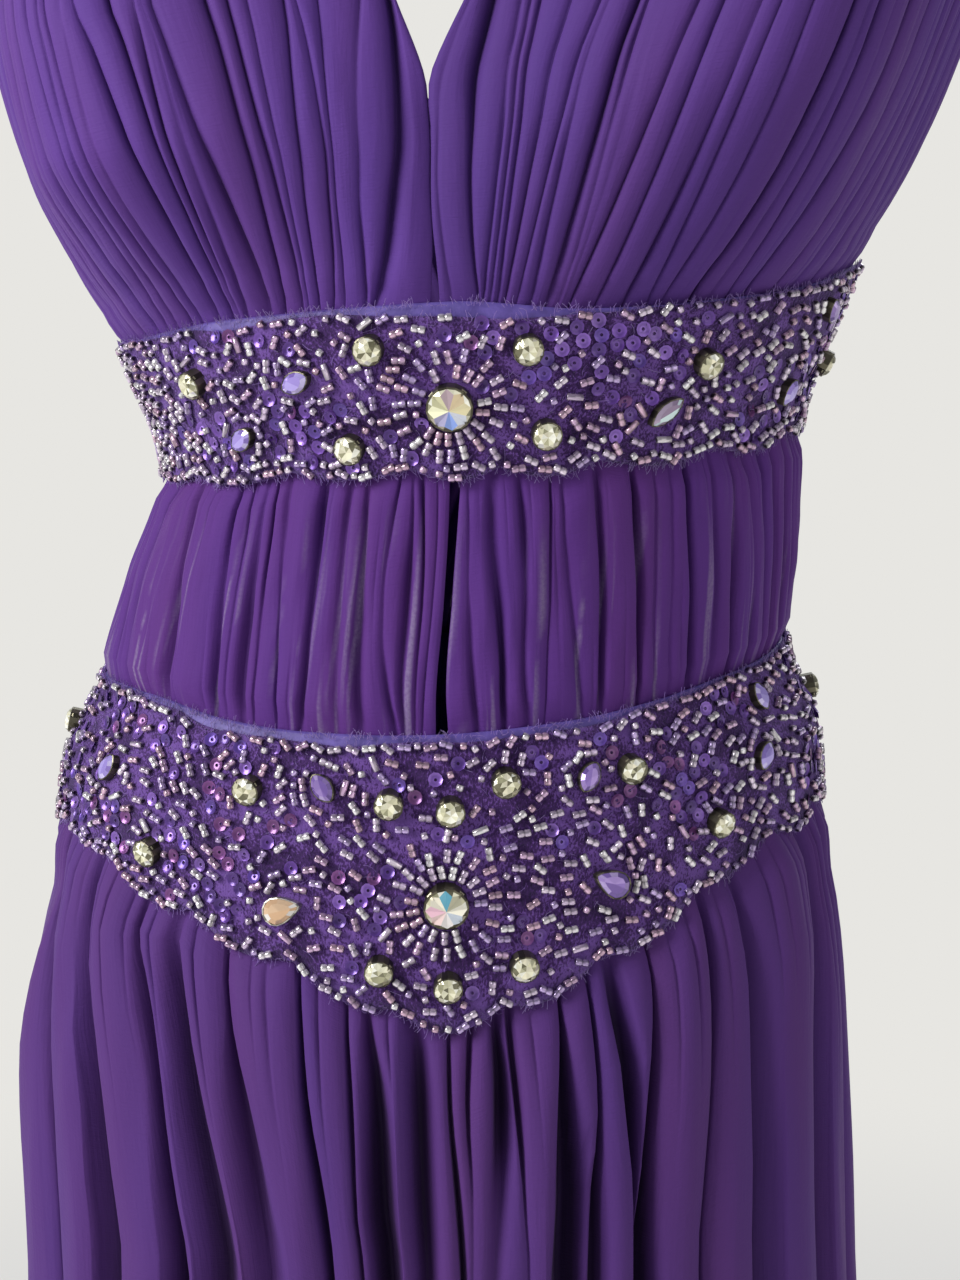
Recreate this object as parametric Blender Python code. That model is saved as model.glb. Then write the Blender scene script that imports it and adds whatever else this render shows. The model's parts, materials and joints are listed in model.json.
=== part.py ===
"""Full-length chiffon gown: a gathered V-neck bodice, two beaded belts and a gathered skirt.

Metres, +Z up, the front towards -Y, left and right as seen from the front. The origin is where
the wearer holds the gown up, midway between the tops of the shoulders. The cloth keeps its
worn, hollow form: it leans a little, and the bust and the hip are turned against each other.
Each piece of cloth is a closed wall whose outer points carry the folds.
"""
import math
from collections import namedtuple

import bmesh
import bpy
import numpy as np

# Driving dimensions
HEM = -1.430                 # height of the hem below the shoulders
SKIRT_LENGTH = 0.955         # from the belt's lowest point to the hem
WALL = 0.0015                # thickness of a chiffon wall
SKIRT_WALL = 0.0020
BELT_INSIDE = 0.0025         # how far a belt's inner face stands off the form
BELT_OUTSIDE = 0.0045
TUCK = 0.008                 # how far gathered cloth runs in behind a belt
TUCK_OUT = 0.0020            # how far tucked cloth stands off the form
SEAM = 0.0003                # gap between two pieces at a seam
SIDE_SEAM = 0.1              # degrees that a piece stops short of the side seam or the back seam
FRONT_STEPS = 4              # columns of a belt in each scallop, in front and behind
BACK_STEPS = 3
UPPER_SCALLOP = 0.0035       # depth of the scallops along the lower edge of each belt
HIP_SCALLOP = 0.0050
CREST = (0.32, 0.68)         # where the crest of a fold begins and ends between two valleys
BACK_CREST = (0.5,)
NARROW_ANGLE = 4.8           # a fold up to this wide, in degrees or as a part of a bodice panel's
NARROW_PART = 0.052          # width, has one ridge
MILLIMETRE = 0.001

# The general figure under the cloth: an oval at each height, deeper or flatter behind
Form = namedtuple("Form", "z half_width front back")
FORM = (
    Form(-1.435, 0.212, 0.172, 0.176),
    Form(-0.900, 0.170, 0.132, 0.134),
    Form(-0.626, 0.153, 0.115, 0.117),
    Form(-0.510, 0.149, 0.108, 0.115),
    Form(-0.470, 0.1445, 0.105, 0.109),
    Form(-0.435, 0.1365, 0.101, 0.100),
    Form(-0.405, 0.133, 0.098, 0.091),
    Form(-0.375, 0.120, 0.094, 0.082),
    Form(-0.340, 0.1155, 0.092, 0.079),
    Form(-0.300, 0.109, 0.094, 0.080),
    Form(-0.250, 0.1255, 0.100, 0.085),
    Form(-0.240, 0.1285, 0.100, 0.085),
)

# How the worn form stands: moved sideways, tilted down to the left and turned, at each height
Stance = namedtuple("Stance", "z shift tilt turn")
STANCE = (
    Stance(-1.435, -0.004, 0.0, 0.0),
    Stance(-0.900, -0.006, 0.0, 0.0),
    Stance(-0.626, -0.009, 0.0, 1.0),
    Stance(-0.510, -0.012, 1.2, 2.5),
    Stance(-0.470, -0.011, 2.0, 2.5),
    Stance(-0.435, -0.0105, 2.6, 2.0),
    Stance(-0.405, -0.010, 2.6, 1.2),
    Stance(-0.375, -0.009, 2.5, 0.0),
    Stance(-0.340, -0.003, 3.2, -2.2),
    Stance(-0.300, 0.004, 4.4, -5.0),
    Stance(-0.250, 0.006, 6.5, -6.5),
    Stance(-0.185, 0.003, 6.5, -7.0),
    Stance(-0.120, 0.002, 5.0, -6.0),
    Stance(-0.060, 0.000, 3.0, -3.0),
    Stance(0.030, 0.000, 0.0, 0.0),
)

# Heights of the belts' edges round the form, by angle from the centre front; both lower
# edges are the line through the notches, and the scallops hang below it
Edge = namedtuple("Edge", "angle upper_top upper_bottom hip_top hip_bottom")
EDGES = (
    Edge(-180, -0.2500, -0.2985, -0.3760, -0.4480),
    Edge(-135, -0.2500, -0.2985, -0.3750, -0.4350),
    Edge(-90, -0.2500, -0.2975, -0.3750, -0.4200),
    Edge(-62, -0.2480, -0.2975, -0.3735, -0.4210),
    Edge(-50, -0.2465, -0.2980, -0.3745, -0.4300),
    Edge(-35, -0.2450, -0.2975, -0.3790, -0.4410),
    Edge(-20, -0.2455, -0.2970, -0.3820, -0.4545),
    Edge(0, -0.2475, -0.2990, -0.3835, -0.4735),
    Edge(20, -0.2545, -0.3000, -0.3820, -0.4580),
    Edge(35, -0.2560, -0.3000, -0.3790, -0.4430),
    Edge(50, -0.2560, -0.3000, -0.3755, -0.4310),
    Edge(90, -0.2500, -0.2975, -0.3720, -0.4270),
    Edge(135, -0.2500, -0.2985, -0.3740, -0.4350),
    Edge(180, -0.2500, -0.2985, -0.3760, -0.4480),
)
BACK_NOTCHES = tuple(range(108, 181, 18))
UPPER_NOTCHES = (-90, -72, -52, -27.5, -6.5, 7.5, 23.5, 45.5, 68, 90)
HIP_NOTCHES = (-90, -70, -52, -35.5, -20, -6.5, 7, 19.5, 35.5, 52, 70, 90)

# Belt piece: its angles, and which columns of EDGES and which notches shape it
Belt = namedtuple("Belt", "name top bottom notches scallop middle_rows")
UPPER_BELT = Belt("upper_belt", "upper_top", "upper_bottom", UPPER_NOTCHES, UPPER_SCALLOP, 1)
HIP_BELT = Belt("hip_belt", "hip_top", "hip_bottom", HIP_NOTCHES, HIP_SCALLOP, 2)

# Right bodice panels, one row for each height, from the inner edge along the neckline to the
# outer edge along the side seam and the armhole; the mound is the cup, in metres
Row = namedtuple("Row", "inner_x inner_y inner_z outer_x outer_y outer_z mound relief")
FRONT_ROWS = (
    Row(0.0014, -0.1035, -0.2400, 0.1330, 0.0000, -0.2400, 0.007, 0.80),
    Row(0.0002, -0.1035, -0.2200, 0.1435, -0.0010, -0.2240, 0.022, 1.00),
    Row(0.0002, -0.1005, -0.1880, 0.1580, -0.0190, -0.1930, 0.040, 1.00),
    Row(0.0110, -0.0965, -0.1550, 0.1690, -0.0370, -0.1580, 0.036, 1.00),
    Row(0.0270, -0.0880, -0.1150, 0.1740, -0.0460, -0.1170, 0.018, 0.95),
    Row(0.0460, -0.0740, -0.0650, 0.1690, -0.0450, -0.0720, 0.003, 0.85),
    Row(0.0640, -0.0430, -0.0200, 0.1550, -0.0300, -0.0360, 0.000, 0.75),
    Row(0.0720, -0.0002, 0.0040, 0.1480, -0.0002, -0.0180, 0.000, 0.60),
)
BACK_ROWS = (
    Row(0.0002, 0.0895, -0.2380, 0.1340, 0.0000, -0.2380, 0.000, 0.80),
    Row(0.0060, 0.0920, -0.2050, 0.1500, 0.0060, -0.2100, 0.000, 1.00),
    Row(0.0190, 0.0980, -0.1550, 0.1660, 0.0330, -0.1580, 0.000, 1.00),
    Row(0.0400, 0.0940, -0.0900, 0.1700, 0.0430, -0.0980, 0.000, 0.90),
    Row(0.0620, 0.0560, -0.0270, 0.1570, 0.0330, -0.0420, 0.000, 0.75),
    Row(0.0720, 0.0002, 0.0040, 0.1480, 0.0002, -0.0180, 0.000, 0.60),
)
CUP_CENTRE = 0.42            # the top of the mound, as a part of the panel's width
CUP_SPREAD = 0.30
CUP_FORWARD = (0.30, -0.95)  # the way a cup rises, outward and forward
BODICE_GAP = 0.7             # half of the slit between the front panels at the belt, in degrees
BELT_RISE_FADE = 0.050       # the panel's rows stop following the belt's edge this far up
TUCKED_RELIEF = 0.10         # what is left of the folds where cloth is tucked in
MIDRIFF_OUT = 0.0065         # how far the crests of the midriff's gathers stand off the form
MIDRIFF_GAP = (0.65, 1.35)   # half of the gap at the centre front in degrees, top and bottom

# Gathers: where a valley starts, at the piece's lower edge, and ends, and its depth in
# millimetres. Bodice valleys run from the belt to the shoulder, as parts of the panel's width.
Gather = namedtuple("Gather", "low high depth")
BODICE_LEFT = (
    Gather(0.050, 0.060, 6.0), Gather(0.110, 0.125, 2.6), Gather(0.165, 0.175, 2.2),
    Gather(0.220, 0.225, 2.8), Gather(0.262, 0.270, 2.0), Gather(0.300, 0.312, 3.0),
    Gather(0.347, 0.372, 4.6), Gather(0.395, 0.440, 5.0), Gather(0.445, 0.500, 3.0),
    Gather(0.495, 0.560, 3.4), Gather(0.560, 0.620, 2.6), Gather(0.630, 0.680, 3.2),
    Gather(0.705, 0.745, 2.8), Gather(0.780, 0.810, 3.6), Gather(0.855, 0.872, 2.6),
    Gather(0.930, 0.938, 3.0),
)
BODICE_RIGHT = (
    Gather(0.060, 0.030, 6.0), Gather(0.112, 0.095, 2.4), Gather(0.158, 0.140, 2.6),
    Gather(0.213, 0.195, 3.0), Gather(0.255, 0.255, 2.2), Gather(0.297, 0.312, 2.8),
    Gather(0.345, 0.378, 5.0), Gather(0.395, 0.425, 2.8), Gather(0.440, 0.480, 3.0),
    Gather(0.486, 0.545, 4.6), Gather(0.545, 0.605, 3.0), Gather(0.605, 0.665, 2.6),
    Gather(0.680, 0.725, 3.4), Gather(0.755, 0.795, 2.6), Gather(0.840, 0.865, 3.4),
    Gather(0.925, 0.935, 2.8),
)
BODICE_BACK = (
    Gather(0.070, 0.080, 4.0), Gather(0.170, 0.185, 2.6), Gather(0.250, 0.270, 3.4),
    Gather(0.340, 0.370, 2.8), Gather(0.430, 0.470, 4.2), Gather(0.540, 0.575, 2.8),
    Gather(0.640, 0.680, 3.6), Gather(0.750, 0.780, 2.8), Gather(0.860, 0.880, 3.6),
)

# Midriff and skirt valleys are angles in degrees from the centre front, low end and high end
# for the midriff, and at the belt and at the hem for the skirt
MIDRIFF_LEFT = (
    Gather(-83.0, -82.0, 3.0), Gather(-72.0, -73.0, 2.4), Gather(-62.0, -63.0, 3.0),
    Gather(-51.0, -52.0, 3.6), Gather(-40.0, -40.5, 3.2), Gather(-31.0, -32.0, 3.4),
    Gather(-25.0, -26.5, 2.2), Gather(-20.5, -21.5, 3.0), Gather(-16.0, -16.5, 2.6),
    Gather(-12.0, -13.0, 2.8), Gather(-8.0, -8.5, 2.2), Gather(-4.8, -4.8, 2.6),
)
MIDRIFF_RIGHT = (
    Gather(6.0, 4.5, 2.6), Gather(10.5, 11.5, 3.4), Gather(18.0, 17.0, 2.8),
    Gather(24.5, 23.5, 3.4), Gather(32.0, 31.0, 2.8), Gather(37.0, 36.0, 2.0),
    Gather(42.5, 41.5, 3.4), Gather(48.0, 47.0, 2.4), Gather(54.0, 53.0, 3.2),
    Gather(64.0, 66.0, 2.6), Gather(74.0, 75.0, 3.4), Gather(83.0, 83.0, 2.6),
)
MIDRIFF_BACK = (
    Gather(99.0, 98.0, 3.0), Gather(109.0, 110.0, 2.4), Gather(120.0, 119.0, 3.4),
    Gather(130.0, 131.0, 2.8), Gather(141.0, 140.0, 3.2), Gather(151.0, 152.0, 2.4),
    Gather(162.0, 161.0, 3.2), Gather(172.0, 172.0, 2.6),
)
SKIRT_FRONT = (
    Gather(-84.0, -83.0, 5.0), Gather(-76.0, -76.0, 6.5), Gather(-69.0, -68.0, 5.0),
    Gather(-61.5, -61.0, 7.0), Gather(-54.5, -54.0, 8.0), Gather(-46.5, -46.0, 6.0),
    Gather(-40.0, -41.0, 5.0), Gather(-33.0, -31.5, 8.0), Gather(-26.0, -25.0, 6.0),
    Gather(-21.5, -20.0, 4.0), Gather(-17.0, -15.5, 6.0), Gather(-12.0, -12.0, 5.0),
    Gather(-8.0, -9.0, 4.0), Gather(-4.5, -5.0, 5.0), Gather(-1.0, -1.0, 7.5),
    Gather(2.2, 2.5, 4.0), Gather(6.0, 6.0, 6.0), Gather(10.0, 9.5, 4.0),
    Gather(14.0, 14.0, 6.0), Gather(18.0, 17.5, 4.5), Gather(22.0, 22.0, 5.5),
    Gather(26.0, 26.0, 5.0), Gather(30.0, 30.5, 4.0), Gather(34.5, 36.0, 7.0),
    Gather(40.0, 42.0, 5.0), Gather(45.5, 48.0, 6.0), Gather(52.0, 55.0, 7.5),
    Gather(59.5, 61.5, 5.5), Gather(67.5, 69.0, 6.5), Gather(76.0, 76.5, 5.0),
    Gather(84.0, 84.0, 6.0),
)
SKIRT_BACK = (
    Gather(95.0, 95.5, 5.0), Gather(101.0, 101.5, 7.0), Gather(107.5, 107.0, 5.0),
    Gather(113.5, 114.0, 6.5), Gather(120.0, 121.0, 8.0), Gather(126.5, 127.0, 5.0),
    Gather(132.5, 132.0, 6.0), Gather(138.5, 139.0, 7.5), Gather(145.0, 145.5, 5.0),
    Gather(151.0, 150.5, 6.5), Gather(157.5, 158.0, 5.0), Gather(163.5, 164.0, 7.5),
    Gather(170.0, 170.0, 5.0), Gather(175.5, 175.5, 6.0),
)

# Midriff rows: part of the way from the upper belt to the hip belt, how far the cloth runs on
# in behind a belt, how far it stands off the form, and how deep its gathers are there
Span = namedtuple("Span", "part tuck out relief")
SPANS = (
    Span(0.0, TUCK, TUCK_OUT, 0.10),
    Span(0.0, 0.0, TUCK_OUT, 0.10),
    Span(0.22, 0.0, MIDRIFF_OUT, 0.90),
    Span(0.78, 0.0, MIDRIFF_OUT, 1.00),
    Span(1.0, 0.0, TUCK_OUT, 0.10),
    Span(1.0, -TUCK, TUCK_OUT, 0.10),
)

# Skirt rows: distance below the belt's lower edge, how far the cloth stands off the form,
# how deep its gathers are there, and how far they have drifted from the belt to the hem
Drop = namedtuple("Drop", "below out relief drift")
DROPS = (
    Drop(-TUCK, TUCK_OUT, 0.10, 0.00),
    Drop(0.0, TUCK_OUT, 0.10, 0.00),
    Drop(0.010, 0.0058, 0.60, 0.00),
    Drop(0.035, 0.0088, 0.90, 0.04),
    Drop(0.150, 0.0100, 1.05, 0.20),
    Drop(0.480, 0.0115, 1.55, 0.60),
    Drop(SKIRT_LENGTH, 0.0130, 2.10, 1.00),
)

# Stones: kind, angle and height on the form, and how far the long axis leans from upright
Stone = namedtuple("Stone", "name belt kind angle z lean")
STONES = (
    Stone("upper_round_stone", UPPER_BELT, "large", 0.0, -0.2790, 0),
    Stone("upper_crystal_1", UPPER_BELT, "crystal", -43.5, -0.2640, 0),
    Stone("upper_crystal_2", UPPER_BELT, "crystal", -11.0, -0.2590, 0),
    Stone("upper_crystal_3", UPPER_BELT, "crystal", 11.0, -0.2640, 0),
    Stone("upper_crystal_4", UPPER_BELT, "crystal", 40.0, -0.2740, 0),
    Stone("upper_crystal_5", UPPER_BELT, "crystal", -16.0, -0.2900, 0),
    Stone("upper_crystal_6", UPPER_BELT, "crystal", 14.5, -0.2900, 0),
    Stone("upper_crystal_7", UPPER_BELT, "crystal", 85.0, -0.2790, 0),
    Stone("upper_oval_1", UPPER_BELT, "oval", -36.0, -0.2850, 60),
    Stone("upper_oval_2", UPPER_BELT, "oval", -23.0, -0.2670, 70),
    Stone("upper_oval_3", UPPER_BELT, "oval", 64.0, -0.2860, 40),
    Stone("upper_oval_4", UPPER_BELT, "oval", 70.0, -0.2630, -40),
    Stone("upper_navette", UPPER_BELT, "navette", 34.0, -0.2870, 55),
    Stone("upper_back_crystal_1", UPPER_BELT, "crystal", -152.0, -0.2700, 0),
    Stone("upper_back_crystal_2", UPPER_BELT, "crystal", -118.0, -0.2780, 0),
    Stone("upper_back_crystal_3", UPPER_BELT, "crystal", 118.0, -0.2700, 0),
    Stone("upper_back_crystal_4", UPPER_BELT, "crystal", 152.0, -0.2780, 0),
    Stone("hip_round_stone", HIP_BELT, "large", 0.0, -0.4370, 0),
    Stone("hip_crystal_1", HIP_BELT, "crystal", -86.0, -0.3930, 0),
    Stone("hip_crystal_2", HIP_BELT, "crystal", -44.0, -0.4230, 0),
    Stone("hip_crystal_3", HIP_BELT, "crystal", -27.0, -0.4000, 0),
    Stone("hip_crystal_4", HIP_BELT, "crystal", -7.0, -0.4040, 0),
    Stone("hip_crystal_5", HIP_BELT, "crystal", 1.0, -0.4070, 0),
    Stone("hip_crystal_6", HIP_BELT, "crystal", 8.5, -0.3990, 0),
    Stone("hip_crystal_7", HIP_BELT, "crystal", 26.5, -0.3990, 0),
    Stone("hip_crystal_8", HIP_BELT, "crystal", 40.5, -0.4220, 0),
    Stone("hip_crystal_9", HIP_BELT, "crystal", 87.0, -0.3930, 0),
    Stone("hip_crystal_10", HIP_BELT, "crystal", -8.5, -0.4570, 0),
    Stone("hip_crystal_11", HIP_BELT, "crystal", 0.0, -0.4630, 0),
    Stone("hip_crystal_12", HIP_BELT, "crystal", 9.5, -0.4580, 0),
    Stone("hip_drop_1", HIP_BELT, "drop", -21.5, -0.4380, 75),
    Stone("hip_drop_2", HIP_BELT, "drop", 22.0, -0.4350, -60),
    Stone("hip_oval_1", HIP_BELT, "oval", -55.5, -0.3990, 30),
    Stone("hip_oval_2", HIP_BELT, "oval", -16.0, -0.3990, -35),
    Stone("hip_oval_3", HIP_BELT, "oval", 20.0, -0.4000, 30),
    Stone("hip_oval_4", HIP_BELT, "oval", 51.5, -0.4040, 35),
    Stone("hip_oval_5", HIP_BELT, "oval", 56.0, -0.3850, -20),
    Stone("hip_back_crystal_1", HIP_BELT, "crystal", -146.0, -0.4180, 0),
    Stone("hip_back_crystal_2", HIP_BELT, "crystal", -116.0, -0.4000, 0),
    Stone("hip_back_crystal_3", HIP_BELT, "crystal", 116.0, -0.4000, 0),
    Stone("hip_back_crystal_4", HIP_BELT, "crystal", 146.0, -0.4180, 0),
)

# A stone in its setting: length, width, height, sides, how much one end narrows, and finish
Cut = namedtuple("Cut", "length width height sides taper finish")
CUTS = {
    "large": Cut(0.0145, 0.0145, 0.0055, 10, 0.0, "clear_stone"),
    "crystal": Cut(0.0094, 0.0094, 0.0055, 8, 0.0, "clear_stone"),
    "oval": Cut(0.0105, 0.0070, 0.0040, 8, 0.0, "lilac_stone"),
    "drop": Cut(0.0130, 0.0085, 0.0045, 8, 0.45, "lilac_stone"),
    "navette": Cut(0.0135, 0.0062, 0.0042, 8, 0.0, "clear_stone"),
}
# Rings of a stone's solid: the part of its outline's size, and of its height
STONE_RINGS = ((0.80, 0.0), (1.0, 0.55), (0.55, 1.0))

# Linear colour, roughness and metallic value of each material
Finish = namedtuple("Finish", "colour roughness metallic")
FINISHES = {
    "chiffon": Finish((0.080, 0.036, 0.200), 0.75, 0.0),
    "belt_cloth": Finish((0.105, 0.060, 0.250), 0.55, 0.0),
    "clear_stone": Finish((0.780, 0.760, 0.720), 0.08, 0.0),
    "lilac_stone": Finish((0.440, 0.360, 0.720), 0.12, 0.0),
}


def clear_scene():
    """Remove whatever the file holds."""
    for thing in list(bpy.data.objects):
        bpy.data.objects.remove(thing, do_unlink=True)


def material(kind):
    """The Principled material of one finish, made once."""
    found = bpy.data.materials.get(kind)
    if found:
        return found
    made = bpy.data.materials.new(kind)
    made.use_nodes = True
    finish = FINISHES[kind]
    shader = made.node_tree.nodes["Principled BSDF"]
    shader.inputs["Base Color"].default_value = (*finish.colour, 1.0)
    shader.inputs["Roughness"].default_value = finish.roughness
    shader.inputs["Metallic"].default_value = finish.metallic
    return made


def smooth(at, knots, values):
    """Read a curve through rising knots that never overshoots its values."""
    knots = np.asarray(knots, float)
    values = np.asarray(values, float)
    at = np.clip(np.asarray(at, float), knots[0], knots[-1])
    gap = np.diff(knots)
    steep = np.diff(values) / gap
    slope = np.concatenate(([steep[0]], np.zeros(len(steep) - 1), [steep[-1]]))
    both = steep[:-1] * steep[1:] > 0
    total = np.where(both, steep[:-1] + steep[1:], 1.0)
    slope[1:-1] = np.where(both, 2 * steep[:-1] * steep[1:] / total, 0.0)
    left = np.clip(np.searchsorted(knots, at, side="right") - 1, 0, len(gap) - 1)
    t = (at - knots[left]) / gap[left]
    start = values[left] * (1 + 2 * t) * (1 - t) ** 2
    end = values[left + 1] * t * t * (3 - 2 * t)
    lean = slope[left] * t * (1 - t) ** 2 - slope[left + 1] * t * t * (1 - t)
    return start + end + gap[left] * lean


def read(table, key, name, at):
    """Read one named column of a table whose rows rise in another."""
    return smooth(at, [getattr(row, key) for row in table], [getattr(row, name) for row in table])


def stand(points):
    """Turn, tilt and shift upright points into the worn stance."""
    x, y, z = points[..., 0], points[..., 1], points[..., 2]
    turn = np.radians(read(STANCE, "z", "turn", z))
    tilt = np.radians(read(STANCE, "z", "tilt", z))
    across = x * np.cos(turn) - y * np.sin(turn)
    along = x * np.sin(turn) + y * np.cos(turn)
    shift = read(STANCE, "z", "shift", z)
    return np.stack((across + shift, along, z + across * np.tan(tilt)), axis=-1)


def on_form(angle, z, out):
    """Upright points at an angle in degrees from the centre front, a distance off the form."""
    angle, z, out = np.broadcast_arrays(np.radians(angle), z, out)
    width = read(FORM, "z", "half_width", z) + out
    depth = np.where(np.cos(angle) > 0, read(FORM, "z", "front", z), read(FORM, "z", "back", z))
    return np.stack((width * np.sin(angle), -(depth + out) * np.cos(angle), z), axis=-1)


def edge(name, angle):
    """Height of a belt's edge at an angle."""
    return read(EDGES, "angle", name, angle)


def scallop(belt, angle):
    """How far the belt's lower edge hangs below the line through its notches."""
    notches = np.array(belt_notches(belt), float)
    left = np.clip(np.searchsorted(notches, angle, side="right") - 1, 0, len(notches) - 2)
    part = (angle - notches[left]) / (notches[left + 1] - notches[left])
    return belt.scallop * np.sin(math.pi * part)


def lower_edge(belt, angle):
    """Height of a belt's scalloped lower edge."""
    return edge(belt.bottom, angle) - scallop(belt, angle)


def add_object(name, kind, bm):
    """Turn a bmesh into a named object with its material, faces out."""
    bmesh.ops.recalc_face_normals(bm, faces=bm.faces)
    mesh = bpy.data.meshes.new(name)
    bm.to_mesh(mesh)
    bm.free()
    mesh.materials.append(material(kind))
    mesh.shade_smooth()
    mesh.set_sharp_from_angle(angle=math.radians(40))
    made = bpy.data.objects.new(name, mesh)
    bpy.context.scene.collection.objects.link(made)
    return made


def sheet_faces(bm, grid):
    """Join a grid of vertices, rows by columns, with quads."""
    for low, high in zip(grid[:-1], grid[1:]):
        for a, b, c, d in zip(low[:-1], low[1:], high[1:], high[:-1]):
            bm.faces.new((a, b, c, d))


def rim(grid):
    """The vertices round a grid's border, in order."""
    right = [row[-1] for row in grid[1:]]
    left = [row[0] for row in grid[-2:0:-1]]
    return list(grid[0]) + right + list(reversed(grid[-1][:-1])) + left


def wall(name, kind, outer, inner):
    """A closed wall of cloth between two grids of upright points."""
    bm = bmesh.new()
    grids = []
    for points in (stand(outer), stand(inner)):
        grids.append([[bm.verts.new(point) for point in row] for row in points])
        sheet_faces(bm, grids[-1])
    outside, inside = rim(grids[0]), rim(grids[1])
    for i in range(len(outside)):
        j = (i + 1) % len(outside)
        bm.faces.new((outside[i], outside[j], inside[j], inside[i]))
    bmesh.ops.triangulate(bm, faces=bm.faces)
    return add_object(name, kind, bm)


def fold_columns(gathers, start, end, crest=CREST, narrow=0.0):
    """Columns across gathered cloth: low place, high place and relief of each.

    Each valley is followed by the crest of the fold beside it, broad or, on a narrow fold,
    a single ridge, and both ends lie halfway down.
    """
    edge_depth = gathers[0].depth / 2
    stops = [Gather(start[0], start[1], edge_depth), *gathers, Gather(end[0], end[1], edge_depth)]
    columns = []
    for here, after in zip(stops[:-1], stops[1:]):
        columns.append((here.low, here.high, -here.depth))
        for part in crest if after.low - here.low > narrow else BACK_CREST:
            low = here.low + part * (after.low - here.low)
            high = here.high + part * (after.high - here.high)
            columns.append((low, high, 0.0))
    columns.append((end[0], end[1], -edge_depth))
    low, high, relief = np.array(columns).T
    return low, high, relief * MILLIMETRE


def belt_notches(belt):
    """Angles of all the notches round a belt."""
    return [-a for a in reversed(BACK_NOTCHES)] + list(belt.notches) + list(BACK_NOTCHES)


def belt_columns(belt, start, end):
    """Angles of a belt piece's columns: its two ends, its notches and steps between them."""
    steps = BACK_STEPS if abs(start + end) > 90 else FRONT_STEPS
    notches = np.array([a for a in belt_notches(belt) if start - 1 < a < end + 1], float)
    notches[0], notches[-1] = start, end
    places = np.arange((len(notches) - 1) * steps + 1) / steps
    return np.interp(places, np.arange(len(notches)), notches)


def belt_grid(belt, start, end, out):
    """Upright points of a belt piece, from its top edge down."""
    angle = belt_columns(belt, start, end)
    top, bottom = edge(belt.top, angle), lower_edge(belt, angle)
    middle = np.linspace(top - TUCK, bottom + TUCK, belt.middle_rows + 2)
    z = np.vstack((top, middle, bottom))
    return on_form(angle[None, :], z, out)


def belt_pieces(belt):
    """Front and two back pieces of a belt, by name."""
    front = 90 - SIDE_SEAM
    back = (90 + SIDE_SEAM, 180 - SIDE_SEAM)
    return {
        belt.name + "_front": (-front, front),
        belt.name + "_back_left": (-back[1], -back[0]),
        belt.name + "_back_right": back,
    }


def make_belt(belt):
    """Build the three pieces of a belt."""
    for name, (start, end) in belt_pieces(belt).items():
        outer = belt_grid(belt, start, end, BELT_OUTSIDE)
        wall(name, "belt_cloth", outer, belt_grid(belt, start, end, BELT_INSIDE))


def panel_angle(part, side, behind):
    """Angle round the form of a place along a bodice panel's lower edge."""
    first = SIDE_SEAM if behind else BODICE_GAP
    angle = first + part * (90 - SIDE_SEAM - first)
    return side * (180 - angle if behind else angle)


def tucked_rows(part, side, behind):
    """The rows of a right-hand panel that lie in behind the upper belt."""
    angle = panel_angle(part, side, behind)
    top = edge("upper_top", angle)
    return [on_form(np.abs(angle), top - TUCK, TUCK_OUT), on_form(np.abs(angle), top, TUCK_OUT)]


def free_rows(rows, low, high, side, behind):
    """The rows of a right-hand panel from just above the belt to the shoulder."""
    points = []
    bottom, top = rows[0].inner_z, rows[-1].inner_z
    belt_rise = edge("upper_top", panel_angle(low, side, behind)) - EDGES[0].upper_top
    for row in rows:
        up = (row.inner_z - bottom) / (top - bottom)
        part = low + (high - low) * up
        turn = part * math.pi / 2
        x = row.inner_x + np.sin(turn) * (row.outer_x - row.inner_x)
        y = row.outer_y + np.cos(turn) * (row.inner_y - row.outer_y)
        z = row.inner_z + part * (row.outer_z - row.inner_z)
        z += belt_rise * max(0.0, 1 - (row.inner_z - bottom) / BELT_RISE_FADE)
        mound = row.mound * np.exp(-((part - CUP_CENTRE) / CUP_SPREAD) ** 2)
        x += CUP_FORWARD[0] * mound
        y += CUP_FORWARD[1] * mound
        points.append(np.stack((x, y, z), axis=-1))
    return points


def outward(points):
    """Unit normals of a grid, level with the ground below the shoulder and pointing out."""
    across = np.gradient(points, axis=1)
    up = np.gradient(points, axis=0)
    normal = np.cross(across, up)
    normal /= np.linalg.norm(normal, axis=-1, keepdims=True)
    away = points.copy()
    away[..., 2] = 0.02
    sign = np.sign(np.sum(normal * away, axis=-1, keepdims=True))
    return normal * sign


def make_panel(name, rows, gathers, side, behind=False):
    """Build one bodice panel; side is -1 on the left and 1 on the right."""
    crest = BACK_CREST if behind else CREST
    low, high, relief = fold_columns(gathers, (0.0, 0.0), (1.0, 1.0), crest, NARROW_PART)
    points = np.array(tucked_rows(low, side, behind) + free_rows(rows, low, high, side, behind))
    strength = np.array([TUCKED_RELIEF, TUCKED_RELIEF] + [row.relief for row in rows])
    lift = strength[:, None] * relief
    normal = outward(points)
    normal[:2, :, 2] = 0
    normal[-1] = (0, 0, 1)
    outer = points + normal * lift[..., None]
    inner = points + normal * (lift - WALL)[..., None]
    towards = 1 if behind else -1
    for grid in (outer, inner):
        grid[..., 0] = np.maximum(grid[..., 0], SEAM / 2) * side
        grid[..., 1] = np.maximum(grid[..., 1] * towards, SEAM / 2) * towards
    return wall(name, "chiffon", outer, inner)


def make_bodice():
    """Two gathered panels in front and two behind, from the belt over the shoulder."""
    make_panel("bodice_front_left", FRONT_ROWS, BODICE_LEFT, -1)
    make_panel("bodice_front_right", FRONT_ROWS, BODICE_RIGHT, 1)
    make_panel("bodice_back_left", BACK_ROWS, BODICE_BACK, -1, behind=True)
    make_panel("bodice_back_right", BACK_ROWS, BODICE_BACK, 1, behind=True)


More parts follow.
